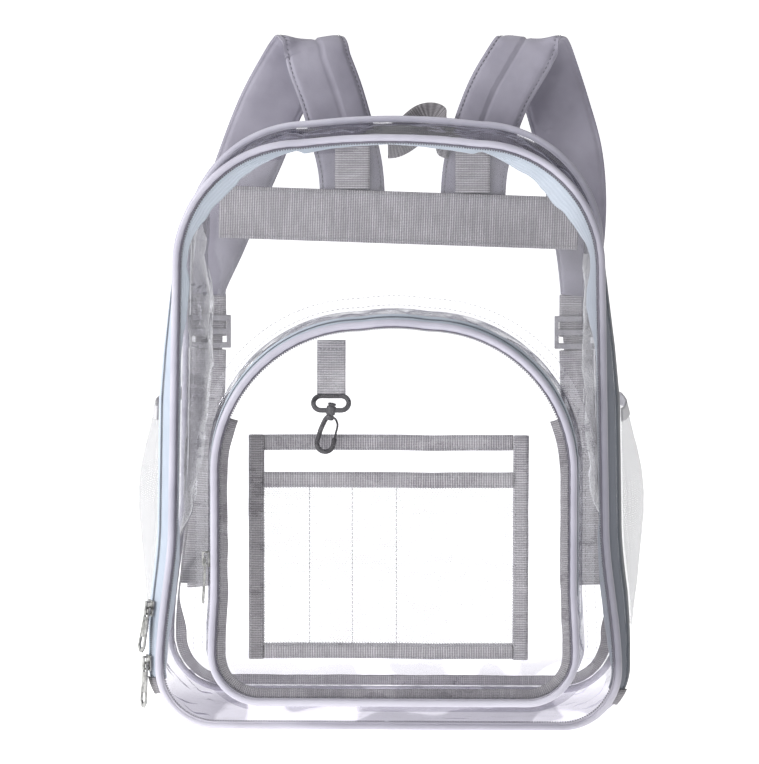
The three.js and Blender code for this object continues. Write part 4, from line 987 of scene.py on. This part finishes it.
SEAT_Y = BACK_Y + 1 + GAP
BACK_DRIFT = 10
STRAP_WIDTH, STRAP_THICK, STRAP_REACH, STRAP_BACK, STRAP_TOP = 47, 9, 134, 50, 472
STRAP_ROWS = [  # share of the reach, of the distance back, of the height, of the width, and of the drift
    (0.325, 0, 0.714, 1, 1), (0.325, 0, 0.764, 1, 1), (0.34, 0.08, 0.816, 1, 1), (0.388, 0.2, 0.871, 1, 1),
    (0.455, 0.34, 0.926, 1, 1.1), (0.53, 0.46, 0.97, 1, 1.3), (0.567, 0.56, 0.992, 1, 1.5),
    (0.6, 0.7, 1, 1, 1.5), (0.64, 0.84, 0.988, 1, 1.5), (0.694, 0.9, 0.958, 1, 1.3),
    (0.784, 0.91, 0.899, 1, 1), (0.866, 0.84, 0.83, 1, 0.8), (0.933, 0.72, 0.759, 0.92, 0.4),
    (0.978, 0.55, 0.689, 0.76, 0), (1, 0.42, 0.636, 0.58, -0.4), (1, 0.37, 0.613, 0.5, -0.5)]
LOWER_ROWS = [(0, 0, 0), (0.2, 0.15, 0.45), (0.45, 0.4, 1), (0.7, 0.72, 0.8), (0.9, 0.95, 0.25), (1, 1, 0)]
LOWER_FOOT, LOWER_REACH, LOWER_SLACK, LOWER_WIDTH = 80, 142, 16, 25
TAIL_WIDTH, TAIL_TURN, TAIL_SPREAD = 20, 45, 10
TAIL_FEET = {"left": 71, "right": 108}
LOCK_HEIGHT, LOCK_THICK, TAB_DROP = 24, 3.4, 12
WEBBING_THICK = 1.6


def add_pad(side_name, side):
    """A padded shoulder strap with a lengthwise seam; gives the middle of its lower end."""
    rows = spline(STRAP_ROWS, 150)
    centres = xyz(side * rows[:, 0] * STRAP_REACH + rows[:, 4] * BACK_DRIFT,
                  SEAT_Y + 0.45 * STRAP_THICK + rows[:, 1] * STRAP_BACK, rows[:, 2] * STRAP_TOP)
    along, across, face = frames_along(centres, (1, 0, 0))
    half = 21
    u = np.sin(np.linspace(-math.pi / 2, math.pi / 2, half * 2 + 1)) / 2
    crown = 0.5 * (1 - np.abs(2 * u) ** 4) ** 0.6
    crease = -side * 0.07
    groove = 0.22 * np.exp(-((u - crease) / 0.022) ** 2)
    groove = groove + 0.10 * (side * (u - crease) > 0) * smooth((0.42 - np.abs(u)) / 0.2)
    hem = 0.1 * np.exp(-((np.abs(u) - 0.44) / 0.02) ** 2)
    upper, lower = np.maximum(crown - hem, 0.08), -np.maximum(crown - groove - hem, 0.08)
    u_all = np.concatenate([u, u[::-1]])[None, :]
    v_all = np.concatenate([upper, lower[::-1]])[None, :]
    points = centres[:, None] + across[:, None] * (u_all * rows[:, 3:4] * STRAP_WIDTH)[..., None]
    bend = np.exp(-((rows[:, 2] - 1) / 0.05) ** 2)[:, None]
    fine = noise(points * (1, 1, 2.2), 1 / 13, 2) * (0.25 + 0.7 * bend)
    cloth_wave = noise(points, 1 / 34, 2) * 0.9 + fine
    lift = v_all * STRAP_THICK + cloth_wave * np.minimum(1, np.abs(v_all) * 4)
    points = points + face[:, None] * lift[..., None]
    strap = grid(f"padded_strap_{side_name}", points, STRAP, round_section=True, caps=True)
    outward(strap)
    settle(strap, "strap_cloth", f"shoulder_strap_{side_name}")
    for row, place in (("a", -0.445), ("b", 0.445)):
        line = centres + across * (place * rows[:, 3:4] * STRAP_WIDTH)
        add_stitches(f"strap_stitches_{side_name}_{row}", line - face * 1.9, along, -face, DARK_THREAD,
                     "strap_cloth", length=2.2, pitch=3.6, radius=0.25)
    return centres[-1]


def add_strap_webbing(side_name, side, end):
    """What hangs from a pad's end: the tab, the webbing below the ladder lock and the loose tail."""
    tab_z = end[2] - GAP - TAB_DROP / 2 - 2
    rise = np.linspace(tab_z + TAB_DROP / 2 + 3, tab_z - TAB_DROP - LOCK_HEIGHT * 0.42, 40)
    behind = (LOCK_THICK / 2 + WEBBING_THICK / 2 + 0.2) * smooth((tab_z + 3 - rise) / (TAB_DROP / 2 + 3))
    tab = ribbon(f"webbing_tab_{side_name}", xyz(end[0], end[1] + behind, rise), (1, 0, 0),
                 LOWER_WIDTH, WEBBING_THICK, WEBBING)
    settle(tab, "webbing", f"strap_tab_{side_name}")
    lock_z = tab_z - TAB_DROP / 2 - GAP - LOCK_HEIGHT / 2
    foot_x = side * LOWER_REACH - 0.5 * BACK_DRIFT
    lock_foot = lock_z - LOCK_HEIGHT / 2 - GAP - WEBBING_THICK / 2
    fall, out, slack = spline(LOWER_ROWS, 90).T
    line = xyz(end[0] + (foot_x - end[0]) * out,
               end[1] + (SEAT_Y + WEBBING_THICK / 2 - end[1]) * fall ** 2 + slack * LOWER_SLACK,
               lock_foot + (LOWER_FOOT - lock_foot) * fall)
    lower = ribbon(f"slack_webbing_{side_name}", line, (1, 0, 0), LOWER_WIDTH, WEBBING_THICK, WEBBING,
                   pucker=0.3)
    settle(lower, "webbing", f"lower_webbing_{side_name}")
    fall = np.linspace(0, 1, 70)
    tail_y = end[1] + LOCK_THICK / 2 + GAP + WEBBING_THICK / 2
    tail_y = tail_y + LOWER_SLACK * 1.1 * smooth(fall * 4) + 3 * np.sin(fall * 5) * fall
    line = xyz(end[0] + side * TAIL_SPREAD * fall, tail_y, lock_z + (TAIL_FEET[side_name] - lock_z) * fall)
    turn = math.radians(TAIL_TURN) * smooth(fall * 2.5)[:, None]
    across = np.hstack([np.cos(turn), np.sin(turn), 0 * turn])
    tail = ribbon(f"loose_tail_{side_name}", line, across, TAIL_WIDTH, WEBBING_THICK, WEBBING, pucker=0.2)
    settle(tail, "webbing", f"strap_tail_{side_name}")
    fold = line[-16:]
    hem = ribbon(f"tail_hem_{side_name}", fold + (0, 0.2, 0), across[-16:], TAIL_WIDTH + 0.4,
                 2 * WEBBING_THICK, WEBBING)
    settle(hem, "webbing")


HANDLE_WIDTH, HANDLE_LENGTH, HANDLE_SEAT, HANDLE_STAND, HANDLE_RISE = 25, 44, 404, 15, 15
HANDLE_TILT, HANDLE_SKEW, HANDLE_SHIFT, HANDLE_LEAN = 22, 1.25, 14, 5
BAND_HEIGHT, BAND_LENGTH, BAND_CENTRE, BAND_TILT = 38, 260, 349, 1.8
STRIP_WIDTH, STRIP_SPACING, STRIP_TOP = 25, 87, 409
BAND_Y = BACK_Y - 0.5 - GAP - WEBBING_THICK / 2


def add_back():
    """The handle, and the webbing sewn inside the back panel."""
    t = np.linspace(0, 1, 70)
    hump = np.sin(math.pi * t ** HANDLE_SKEW) ** 2
    tilt = np.radians(HANDLE_TILT * hump)
    seat = BACK_Y + PIPING / 2 + 2 * GAP + WEBBING_THICK / 2
    line = xyz(HANDLE_SHIFT + HANDLE_LENGTH * (t - 0.5) + HANDLE_LEAN * hump, seat + HANDLE_STAND * hump,
               HANDLE_SEAT + HANDLE_RISE * hump)
    handle = ribbon("carry_handle", line, xyz(0, np.sin(tilt), np.cos(tilt)), HANDLE_WIDTH,
                    WEBBING_THICK, DARK_WEBBING, pucker=0.25)
    settle(handle, "webbing", "top_handle")

    tilt = math.radians(BAND_TILT)
    x = np.linspace(-BAND_LENGTH / 2, BAND_LENGTH / 2, 150)
    line = xyz(x * math.cos(tilt), BAND_Y, BAND_CENTRE - x * math.sin(tilt))
    across = (math.sin(tilt), 0, math.cos(tilt))
    band = ribbon("webbing_band", line, across, BAND_HEIGHT, WEBBING_THICK, WEBBING, columns=15, pucker=0.3)
    settle(band, "webbing", "back_band")
    edge_stitches("band_stitches", line, across, 1, BAND_HEIGHT, WEBBING_THICK, 2.5, THREAD, "webbing",
                  length=2.2, pitch=3.4, radius=0.25)
    for side_name, side in SIDES:
        x0 = BACK_DRIFT + side * STRIP_SPACING / 2
        foot = BAND_CENTRE + BAND_HEIGHT / 2 + 2 * GAP - (x0 - STRIP_WIDTH / 2) * math.tan(tilt)
        z = np.linspace(foot, STRIP_TOP, 40)
        line = xyz(x0, BAND_Y, z)
        strip = ribbon(f"webbing_strip_{side_name}", line, (1, 0, 0), STRIP_WIDTH, WEBBING_THICK, WEBBING,
                       pucker=0.3, seed=side)
        settle(strip, "webbing", f"back_strip_{side_name}")


# Organiser
ORGANISER = dict(left=-102, foot=52, width=197, height=159, band=11, slot=4.8, mesh_top=122, mesh=1.2)
ORGANISER_STITCHES = (43, 73, 104)


def flat_band(name, x0, x1, z0, z1, y_near, y_far, node, seed, upright=False, material=None):
    """A bound edge: a soft band between two corners, with stitches along its inner edges."""
    count = 60
    middle_y, thick = (y_near + y_far) / 2, abs(y_near - y_far)
    if upright:
        z = np.linspace(z0, z1, count)
        sway = 0.5 * noise(xyz(seed, z, 0), 1 / 30, 2)
        line, across, width = xyz((x0 + x1) / 2 + sway, middle_y, z), (1, 0, 0), x1 - x0
    else:
        x = np.linspace(x0, x1, count * 2)
        sway = 0.5 * noise(xyz(x, seed, 0), 1 / 30, 2)
        line, across, width = xyz(x, middle_y, (z0 + z1) / 2 + sway), (0, 0, 1), z1 - z0
    band = ribbon(name, line, across, width, thick, material or WEBBING, pucker=0.15, seed=seed)
    settle(band, "webbing", node)
    face = frames_along(line, across)[2]
    towards = -np.sign(face[0, 1])
    edge_stitches(f"{name}_stitches", line, across, towards, width, thick, 1.6, THREAD, "webbing",
                  length=1.9, pitch=3.0, radius=0.22)
    return band


def add_organiser():
    """The organiser: a film back, bound edges and a net pocket stitched into four slots."""
    o = ORGANISER
    right, top = o["left"] + o["width"], o["foot"] + o["height"]
    inner_left, inner_right = o["left"] + o["band"], right - o["band"]
    side_deep = 1 + o["slot"] + o["mesh"]
    flat_band("organiser_top", inner_left, inner_right, top - o["band"], top, WALL_Y, WALL_Y - 2.2,
              "organizer_top_band", 1)
    flat_band("organiser_foot", inner_left, inner_right, o["foot"], o["foot"] + o["band"], WALL_Y,
              WALL_Y - side_deep, "organizer_foot_band", 2)
    flat_band("organiser_left", o["left"], inner_left, o["foot"], top, WALL_Y, WALL_Y - side_deep,
              "organizer_left_band", 3, True, DARK_WEBBING)
    flat_band("organiser_right", inner_right, right, o["foot"], top, WALL_Y, WALL_Y - side_deep,
              "organizer_right_band", 4, True)
    mesh_y = WALL_Y - 1 - o["slot"] - o["mesh"] / 2
    rim = o["foot"] + o["mesh_top"] + GAP
    flat_band("organiser_rim", inner_left, inner_right, rim, rim + o["band"], mesh_y + 0.6, mesh_y - 1.8,
              "organizer_mesh_band", 5)

    x, z = np.meshgrid(np.linspace(inner_left - 2, inner_right + 2, 90),
                       np.linspace(o["foot"] + o["band"] - 2, rim + 2, 60))
    place = xyz(x, 40, z)
    pull = np.min([np.abs(x - (o["left"] + s)) for s in ORGANISER_STITCHES], axis=0)
    puff = 0.8 * smooth(pull / 14) * smooth((x - inner_left) / 12) * smooth((inner_right - x) / 12)
    y = mesh_y + 0.3 - puff + 0.35 * noise(place, 1 / 18, 2)
    net = grid("organiser_net", xyz(x, y, z), NET, run=z[:, 0], across=x[0])
    settle(net, "mesh_cloth", "organizer_mesh")
    for stitch in ORGANISER_STITCHES:
        z1 = np.linspace(o["foot"] + o["band"], rim, 40)
        line = xyz(o["left"] + stitch, mesh_y - 0.2, z1)
        add_stitches(f"divider_stitches_{stitch}", line, np.tile((0, 0, 1.0), (40, 1)),
                     np.tile((0, -1.0, 0), (40, 1)),
                     DARK_THREAD, "mesh_cloth", length=2.3, pitch=3.1, radius=0.24)
    x, z = np.meshgrid(np.linspace(inner_left - 2, inner_right + 2, 60),
                       np.linspace(o["foot"] + o["band"], top - o["band"], 50))
    y = WALL_Y - 0.5 + 0.3 * noise(xyz(x, 80, z), 1 / 30, 2)
    back = grid("organiser_film", xyz(x, y, z), FILM, run=z[:, 0], across=x[0])
    settle(back, "clear_film", "organizer_backing")


# Key tab and hook
TAB = dict(x=-43.7, top=278, length=37, width=20, lean=5)
RING = dict(width=28, height=14, bar=3.2, lean=29)
HOOK = dict(length=28, width=15, bar=3.4, lean=10, boss=6.2)


def tube(name, path, radii, material, sides=14, hoop=False, flatten=1.0, sideways=(0, 1, 0)):
    """A round bar along a path, with a radius at each point. flatten scales it along sideways."""
    path = np.asarray(path, float)
    if hoop:
        along = unit(np.roll(path, -1, 0) - np.roll(path, 1, 0))
    else:
        along = unit(np.gradient(path, axis=0))
    first = unit(np.asarray(sideways, float) - along * (along @ np.asarray(sideways, float))[:, None])
    second = np.cross(along, first)
    a = np.arange(sides) / sides * 2 * math.pi
    radii = np.broadcast_to(radii, len(path))[:, None, None]
    points = path[:, None] + radii * (first[:, None] * (flatten * np.cos(a))[None, :, None]
                                      + second[:, None] * np.sin(a)[None, :, None])
    thing = grid(name, points, material, hoop=hoop, round_section=True, caps=not hoop)
    return outward(thing)


def lathe(name, profile, material, sides=28):
    """A turned solid: rows of (radius, height) about the Z axis, from one end to the other."""
    profile = np.asarray(profile, float)
    a = np.arange(sides) / sides * 2 * math.pi
    height = np.broadcast_to(profile[:, 1:], (len(profile), sides))
    points = xyz(profile[:, :1] * np.cos(a), profile[:, :1] * np.sin(a), height)
    return outward(grid(name, points, material, round_section=True, caps=True))


def place(thing, matrix):
    """Moves a piece's mesh by a matrix whose lengths are millimetres."""
    move = matrix.copy()
    move.translation = move.translation * MM
    thing.data.transform(move)
    return thing


def join(name, things):
    """One object from several, in world places."""
    bm = bmesh.new()
    for thing in things:
        bm.from_mesh(thing.data)
    first, rest = things[0], things[1:]
    bm.to_mesh(first.data)
    bm.free()
    for thing in rest:
        bpy.data.objects.remove(thing)
    first.name = name
    return first


def rounded(radius, low, high, edge=0.5):
    """The profile of a disc with soft edges, for lathe."""
    return [(0.01, low), (radius - edge, low), (radius - 0.3 * edge, low + 0.3 * edge),
            (radius, low + edge),
            (radius, high - edge), (radius - 0.3 * edge, high - 0.3 * edge), (radius - edge, high),
            (0.01, high)]


def add_key_tab():
    """The webbing tab sewn to the wall; gives the ring's place."""
    lean = TAB["length"] * math.tan(math.radians(TAB["lean"]))
    share = np.linspace(0, 1, 40)
    thick = 2 * WEBBING_THICK
    tab_y = WALL_Y - thick / 2
    line = xyz(TAB["x"], tab_y - lean * share ** 2, TAB["top"] - (TAB["length"] + 2) * share)
    tab = ribbon("key_webbing", line, (1, 0, 0), TAB["width"], thick + 2.4 * smooth((share - 0.86) / 0.12),
                 LIT_KEY_WEBBING, pucker=0.1, round_edge=0.5)
    settle(tab, "webbing", "key_tab")
    for row, z in (("a", 0.06), ("b", 0.16)):
        c = line[int(z * 39)]
        x = np.linspace(-TAB["width"] / 2 + 1, TAB["width"] / 2 - 1, 20)
        path = xyz(c[0] + x, c[1] - thick / 2 - 0.1, c[2])
        add_stitches(f"key_stitches_{row}", path, np.tile((1.0, 0, 0), (20, 1)),
                     np.tile((0, -1.0, 0), (20, 1)), THREAD, "webbing", length=1.9, pitch=2.8, radius=0.22)
    return Matrix.Translation((TAB["x"], tab_y - lean - thick / 3, TAB["top"] - TAB["length"] - GAP)) @ \
        Matrix.Rotation(math.radians(-RING["lean"]), 4, "X")


def add_ring(ring_at):
    """The ring and the boss that the hook turns in; gives the hook's place."""
    reach, half = RING["width"] / 2 - RING["height"] / 2, (RING["height"] - RING["bar"]) / 2
    a = np.linspace(-math.pi / 2, math.pi / 2, 20)
    right = xyz(reach + half * np.cos(a), 0, half * np.sin(a) - RING["height"] / 2)
    left = xyz(-reach - half * np.cos(a), 0, -half * np.sin(a) - RING["height"] / 2)
    top = xyz(np.linspace(reach, -reach, 10)[1:-1], 0, half - RING["height"] / 2)
    low = top[::-1] * (1, 1, 0) + (0, 0, -half - RING["height"] / 2)
    path = np.vstack([right, top, left, low])
    ring = place(tube("ring_bar", path, 1.75, PLASTIC, hoop=True, flatten=0.95), ring_at)
    pivot = ring_at @ Vector((0, 0, -RING["height"] + RING["bar"] / 2))
    hook_at = Matrix.Translation(pivot) @ Matrix.Rotation(math.radians(HOOK["lean"]), 4, "Y")
    boss = place(lathe("ring_boss", rounded(3.3, -HOOK["boss"] / 2, HOOK["boss"] / 2, 0.8), PLASTIC),
                 hook_at)
    settle(join("swivel_ring", [ring, boss]), "dark_plastic", "hook_ring")
    return hook_at


def add_hook(hook_at):
    """The snap hook: its claw, its thin sprung gate and the barrel it turns on."""
    shoulder = -HOOK["boss"] / 2 - GAP
    outer = HOOK["width"] / 2
    r = HOOK["bar"] / 2
    bowl = shoulder - HOOK["length"] + outer
    nose = bowl + 5
    a = np.linspace(math.pi, 2 * math.pi, 24)
    rows = [(0.4, 0, shoulder - r), (-outer * 0.42 + r, 0, shoulder - r * 1.1),
            (-outer * 0.62 + r, 0, shoulder - 2.6 * r), (-outer * 0.86 + r, 0, (shoulder + bowl) / 2 - 1)]
    path = np.vstack([spline(rows, 24), xyz((outer - r) * np.cos(a), 0, bowl + (outer - r) * np.sin(a)),
                      [(outer - r, 0, bowl + 2), (outer - r, 0, nose - 1), (outer - r, 0, nose)]])
    radii = np.full(len(path), r)
    radii[-1] = 0.7 * r
    claw = tube("claw", path, radii, PLASTIC, flatten=1.12)
    gate_path = spline([(0.6, 0, shoulder - r), (outer * 0.52, 0, shoulder - r * 1.2),
                        (outer * 0.84, 0, shoulder - 6),
                        (outer * 0.82, 0, shoulder - 12), (outer - r + 0.2, 0, nose + 0.4)], 40)
    gate = tube("gate", gate_path, 0.75, PLASTIC, flatten=1.9)
    barrel = lathe("barrel", rounded(2.9, shoulder - 3.6, shoulder, 0.8), PLASTIC)
    post = lathe("post", rounded(1.5, shoulder - 1, HOOK["boss"] / 2 + 0.6, 0.3), PLASTIC)
    knob = lathe("knob", rounded(2.9, HOOK["boss"] / 2 + GAP, HOOK["boss"] / 2 + 2.1, 0.8), PLASTIC)
    hook = place(join("claw_hook", [claw, gate, barrel, post, knob]), hook_at)
    settle(hook, "dark_plastic", "snap_hook", ride="hook")


# Side pockets
def add_side_pockets():
    """A gathered net on each side wall, with a pale hem along its top."""
    near, far, seat, belly = 0.22, 0.94, GAP + 0.2, 16
    foot, top, hem_height = 62, 226, 9
    run_foot, run_hem, run_top = (height_run(body, h) for h in (foot, top - hem_height, top))
    u = np.linspace(0, 1, 54)
    shares = near + (far - near) * u
    for side_name, side in SIDES:
        def surface(start, stop, rows, lift):
            st = body.at(np.linspace(start, stop, rows), body.total)
            v = ((np.linspace(start, stop, rows) - run_foot) / (run_top - run_foot))[:, None]
            swell = np.interp(v, [0, 0.1, 0.2, 0.3, 0.4, 0.5, 0.6, 0.7, 0.8, 0.9, 1],
                              [0, 0.2, 0.42, 0.64, 0.83, 0.96, 1, 0.92, 0.72, 0.46, 0.24])
            bulge = belly * swell * np.sin(math.pi * u)[None, :] ** 0.6
            out = skin_out(st, shares) + seat + bulge + lift
            points = carry(st, out, FRONT_Y + DEPTH * shares[None, :])
            crumple = 0.8 * noise(points, 1 / 26, 2) + 0.35 * noise(points * (1, 1.6, 0.5), 1 / 8, 2)
            out = out + np.minimum(1, bulge / 4) * crumple
            points = carry(st, out, FRONT_Y + DEPTH * shares[None, :])
            points[..., 0] = BODY["shift"] + side * (points[..., 0] - BODY["shift"])
            return points

        net = grid(f"side_net_{side_name}", surface(run_foot, run_hem, 60, 0.6), SIDE_NET)
        settle(net, "mesh_cloth", f"side_mesh_{side_name}")
        outer, inner = surface(run_hem - 0.5, run_top, 8, 1.6), surface(run_hem - 0.5, run_top, 8, 0.2)
        points = np.concatenate([outer, inner[::-1]], 0)
        hem = grid(f"side_elastic_{side_name}", points.transpose(1, 0, 2), PALE_BINDING,
                   round_section=True, caps=True)
        settle(outward(hem), "binding", f"side_hem_{side_name}")


# Moulded and cast pieces
def softened(node, name, material, slot, ride=BAG, width=0.3, segments=2):
    """A copy of a model node's solid with its edges rounded, which stands for it."""
    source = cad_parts[node]
    mesh = source.data.copy()
    thing = bpy.data.objects.new(name, mesh)
    bpy.context.collection.objects.link(thing)
    thing.matrix_world = source.matrix_world.copy()
    bm = bmesh.new()
    bm.from_mesh(mesh)
    bm.transform(source.matrix_world)
    bmesh.ops.remove_doubles(bm, verts=bm.verts, dist=0.00001)
    bmesh.ops.dissolve_limit(bm, angle_limit=math.radians(3), verts=bm.verts, edges=bm.edges)
    sharp = [e for e in bm.edges if len(e.link_faces) == 2 and e.calc_face_angle(0) > math.radians(24)]
    bmesh.ops.bevel(bm, geom=sharp, offset=width * MM, segments=segments, profile=0.6, affect="EDGES",
                    clamp_overlap=True)
    bmesh.ops.recalc_face_normals(bm, faces=bm.faces)
    bm.to_mesh(mesh)
    bm.free()
    thing.matrix_world = Matrix()
    mesh.materials.clear()
    mesh.materials.append(material)
    mesh.polygons.foreach_set("use_smooth", [True] * len(mesh.polygons))
    return settle(thing, slot, node, ride=ride)


def add_hardware():
    """Ladder locks, sliders and pulls from the model's own solids, and the zip's end tabs."""
    for side_name in ("left", "right"):
        softened(f"ladder_lock_{side_name}", f"strap_lock_{side_name}", GREY_PLASTIC, "grey_plastic",
                 width=0.7, segments=3)
    for name, ride in (("main_upper", "upper_pull"), ("main_lower", "lower_pull"),
                       ("pocket", "pocket_pull")):
        softened(f"slider_{name}", f"zip_slider_{name}", NICKEL, "nickel", width=0.35, segments=3)
        softened(f"pull_{name}", f"zip_pull_{name}", NICKEL, "nickel", ride=ride, width=0.3, segments=3)
    tab = (TAPE_FROM + 0.3 * (TAPE_TO - TAPE_FROM), REAR_FROM + 0.6 * (REAR_TO - REAR_FROM))
    body_strip("zip_stop_right", (zip_run[0] - 9, zip_run[0] + 1), tab, 1.2, 1.65, BINDING, "binding",
               "zip_end_right")
    body_strip("zip_stop_left", (zip_run[1] - 1, zip_run[1] + 9), tab, 1.2, 1.65, BINDING, "binding",
               "zip_end_left")


add_camera()
add_panels()
add_gusset_film()
add_pocket_gusset_film()
add_seams()
add_zips()
add_back()
for side_name, side in SIDES:
    add_strap_webbing(side_name, side, add_pad(side_name, side))
add_organiser()
add_hook(add_ring(add_key_tab()))
add_side_pockets()
add_hardware()


# Stage
FLOOR_HALF = 30
LAMPS = [  # name, place, height that it aims at, width, height, watts
    ("key", (-2.6, -1.7, 1.4), 0.22, 0.9, 0.9, 54),
    ("top", (-0.3, 0.3, 2.4), 0.2, 1.2, 1.2, 15),
    ("left", (-2.2, 0.2, 0.7), 0.25, 0.35, 1.6, 7),
    ("front", (-0.6, -2.6, 2.2), 0.2, 1.2, 0.9, 22)]
# How bright the room is from the left to the right, and how bright it looks behind the bag
ROOM_SHADES = [(0.0, 0.75), (0.35, 0.5), (0.6, 0.22), (1.0, 0.07)]
ROOM_STRENGTH, BACKDROP = 0.8, 1.25


def add_floor():
    mesh = bpy.data.meshes.new("floor")
    corners = [(x * FLOOR_HALF, y * FLOOR_HALF, 0) for x, y in ((-1, -1), (1, -1), (1, 1), (-1, 1))]
    mesh.from_pydata(corners, [], [(0, 1, 2, 3)])
    floor = bpy.data.objects.new("floor", mesh)
    bpy.context.collection.objects.link(floor)
    n = Nodes("floor")
    mesh.materials.append(n.done(n.principled((0.9, 0.9, 0.9, 1), 0.9, Emission_Color=(1, 1, 1, 1),
                                              Emission_Strength=0.9)))


def add_lamps():
    for name, place, aim_height, width, height, watts in LAMPS:
        data = bpy.data.lights.new(name, "AREA")
        data.shape = "RECTANGLE"
        data.size, data.size_y, data.energy = width, height, watts
        thing = bpy.data.objects.new(name, data)
        thing.location = place
        towards = Vector((0, 0, aim_height)) - Vector(place)
        thing.rotation_euler = towards.to_track_quat("-Z", "Y").to_euler()
        bpy.context.collection.objects.link(thing)


def add_room():
    """A studio that is bright on the left and dark on the right, with a white backdrop for the camera."""
    n = Nodes("world", world=True)
    split = n.add("ShaderNodeSeparateXYZ")
    n.put(split, 0, n.add("ShaderNodeTexCoord").outputs["Generated"])
    across = n.add("ShaderNodeMath", {"operation": "MULTIPLY_ADD"}, i0=split.outputs["X"], i1=0.5, i2=0.5)
    seen = n.add("ShaderNodeLightPath").outputs["Is Camera Ray"]
    shade = n.mix(seen, n.ramp(across, ROOM_SHADES), (BACKDROP, BACKDROP, BACKDROP, 1))
    bpy.context.scene.world = n.done(n.add("ShaderNodeBackground", Color=shade, Strength=ROOM_STRENGTH))
    view = bpy.context.scene.view_settings
    view.view_transform = "Standard"
    view.look = "None"
    bpy.context.scene.cycles.transparent_max_bounces = 32


add_floor()
add_lamps()
add_room()
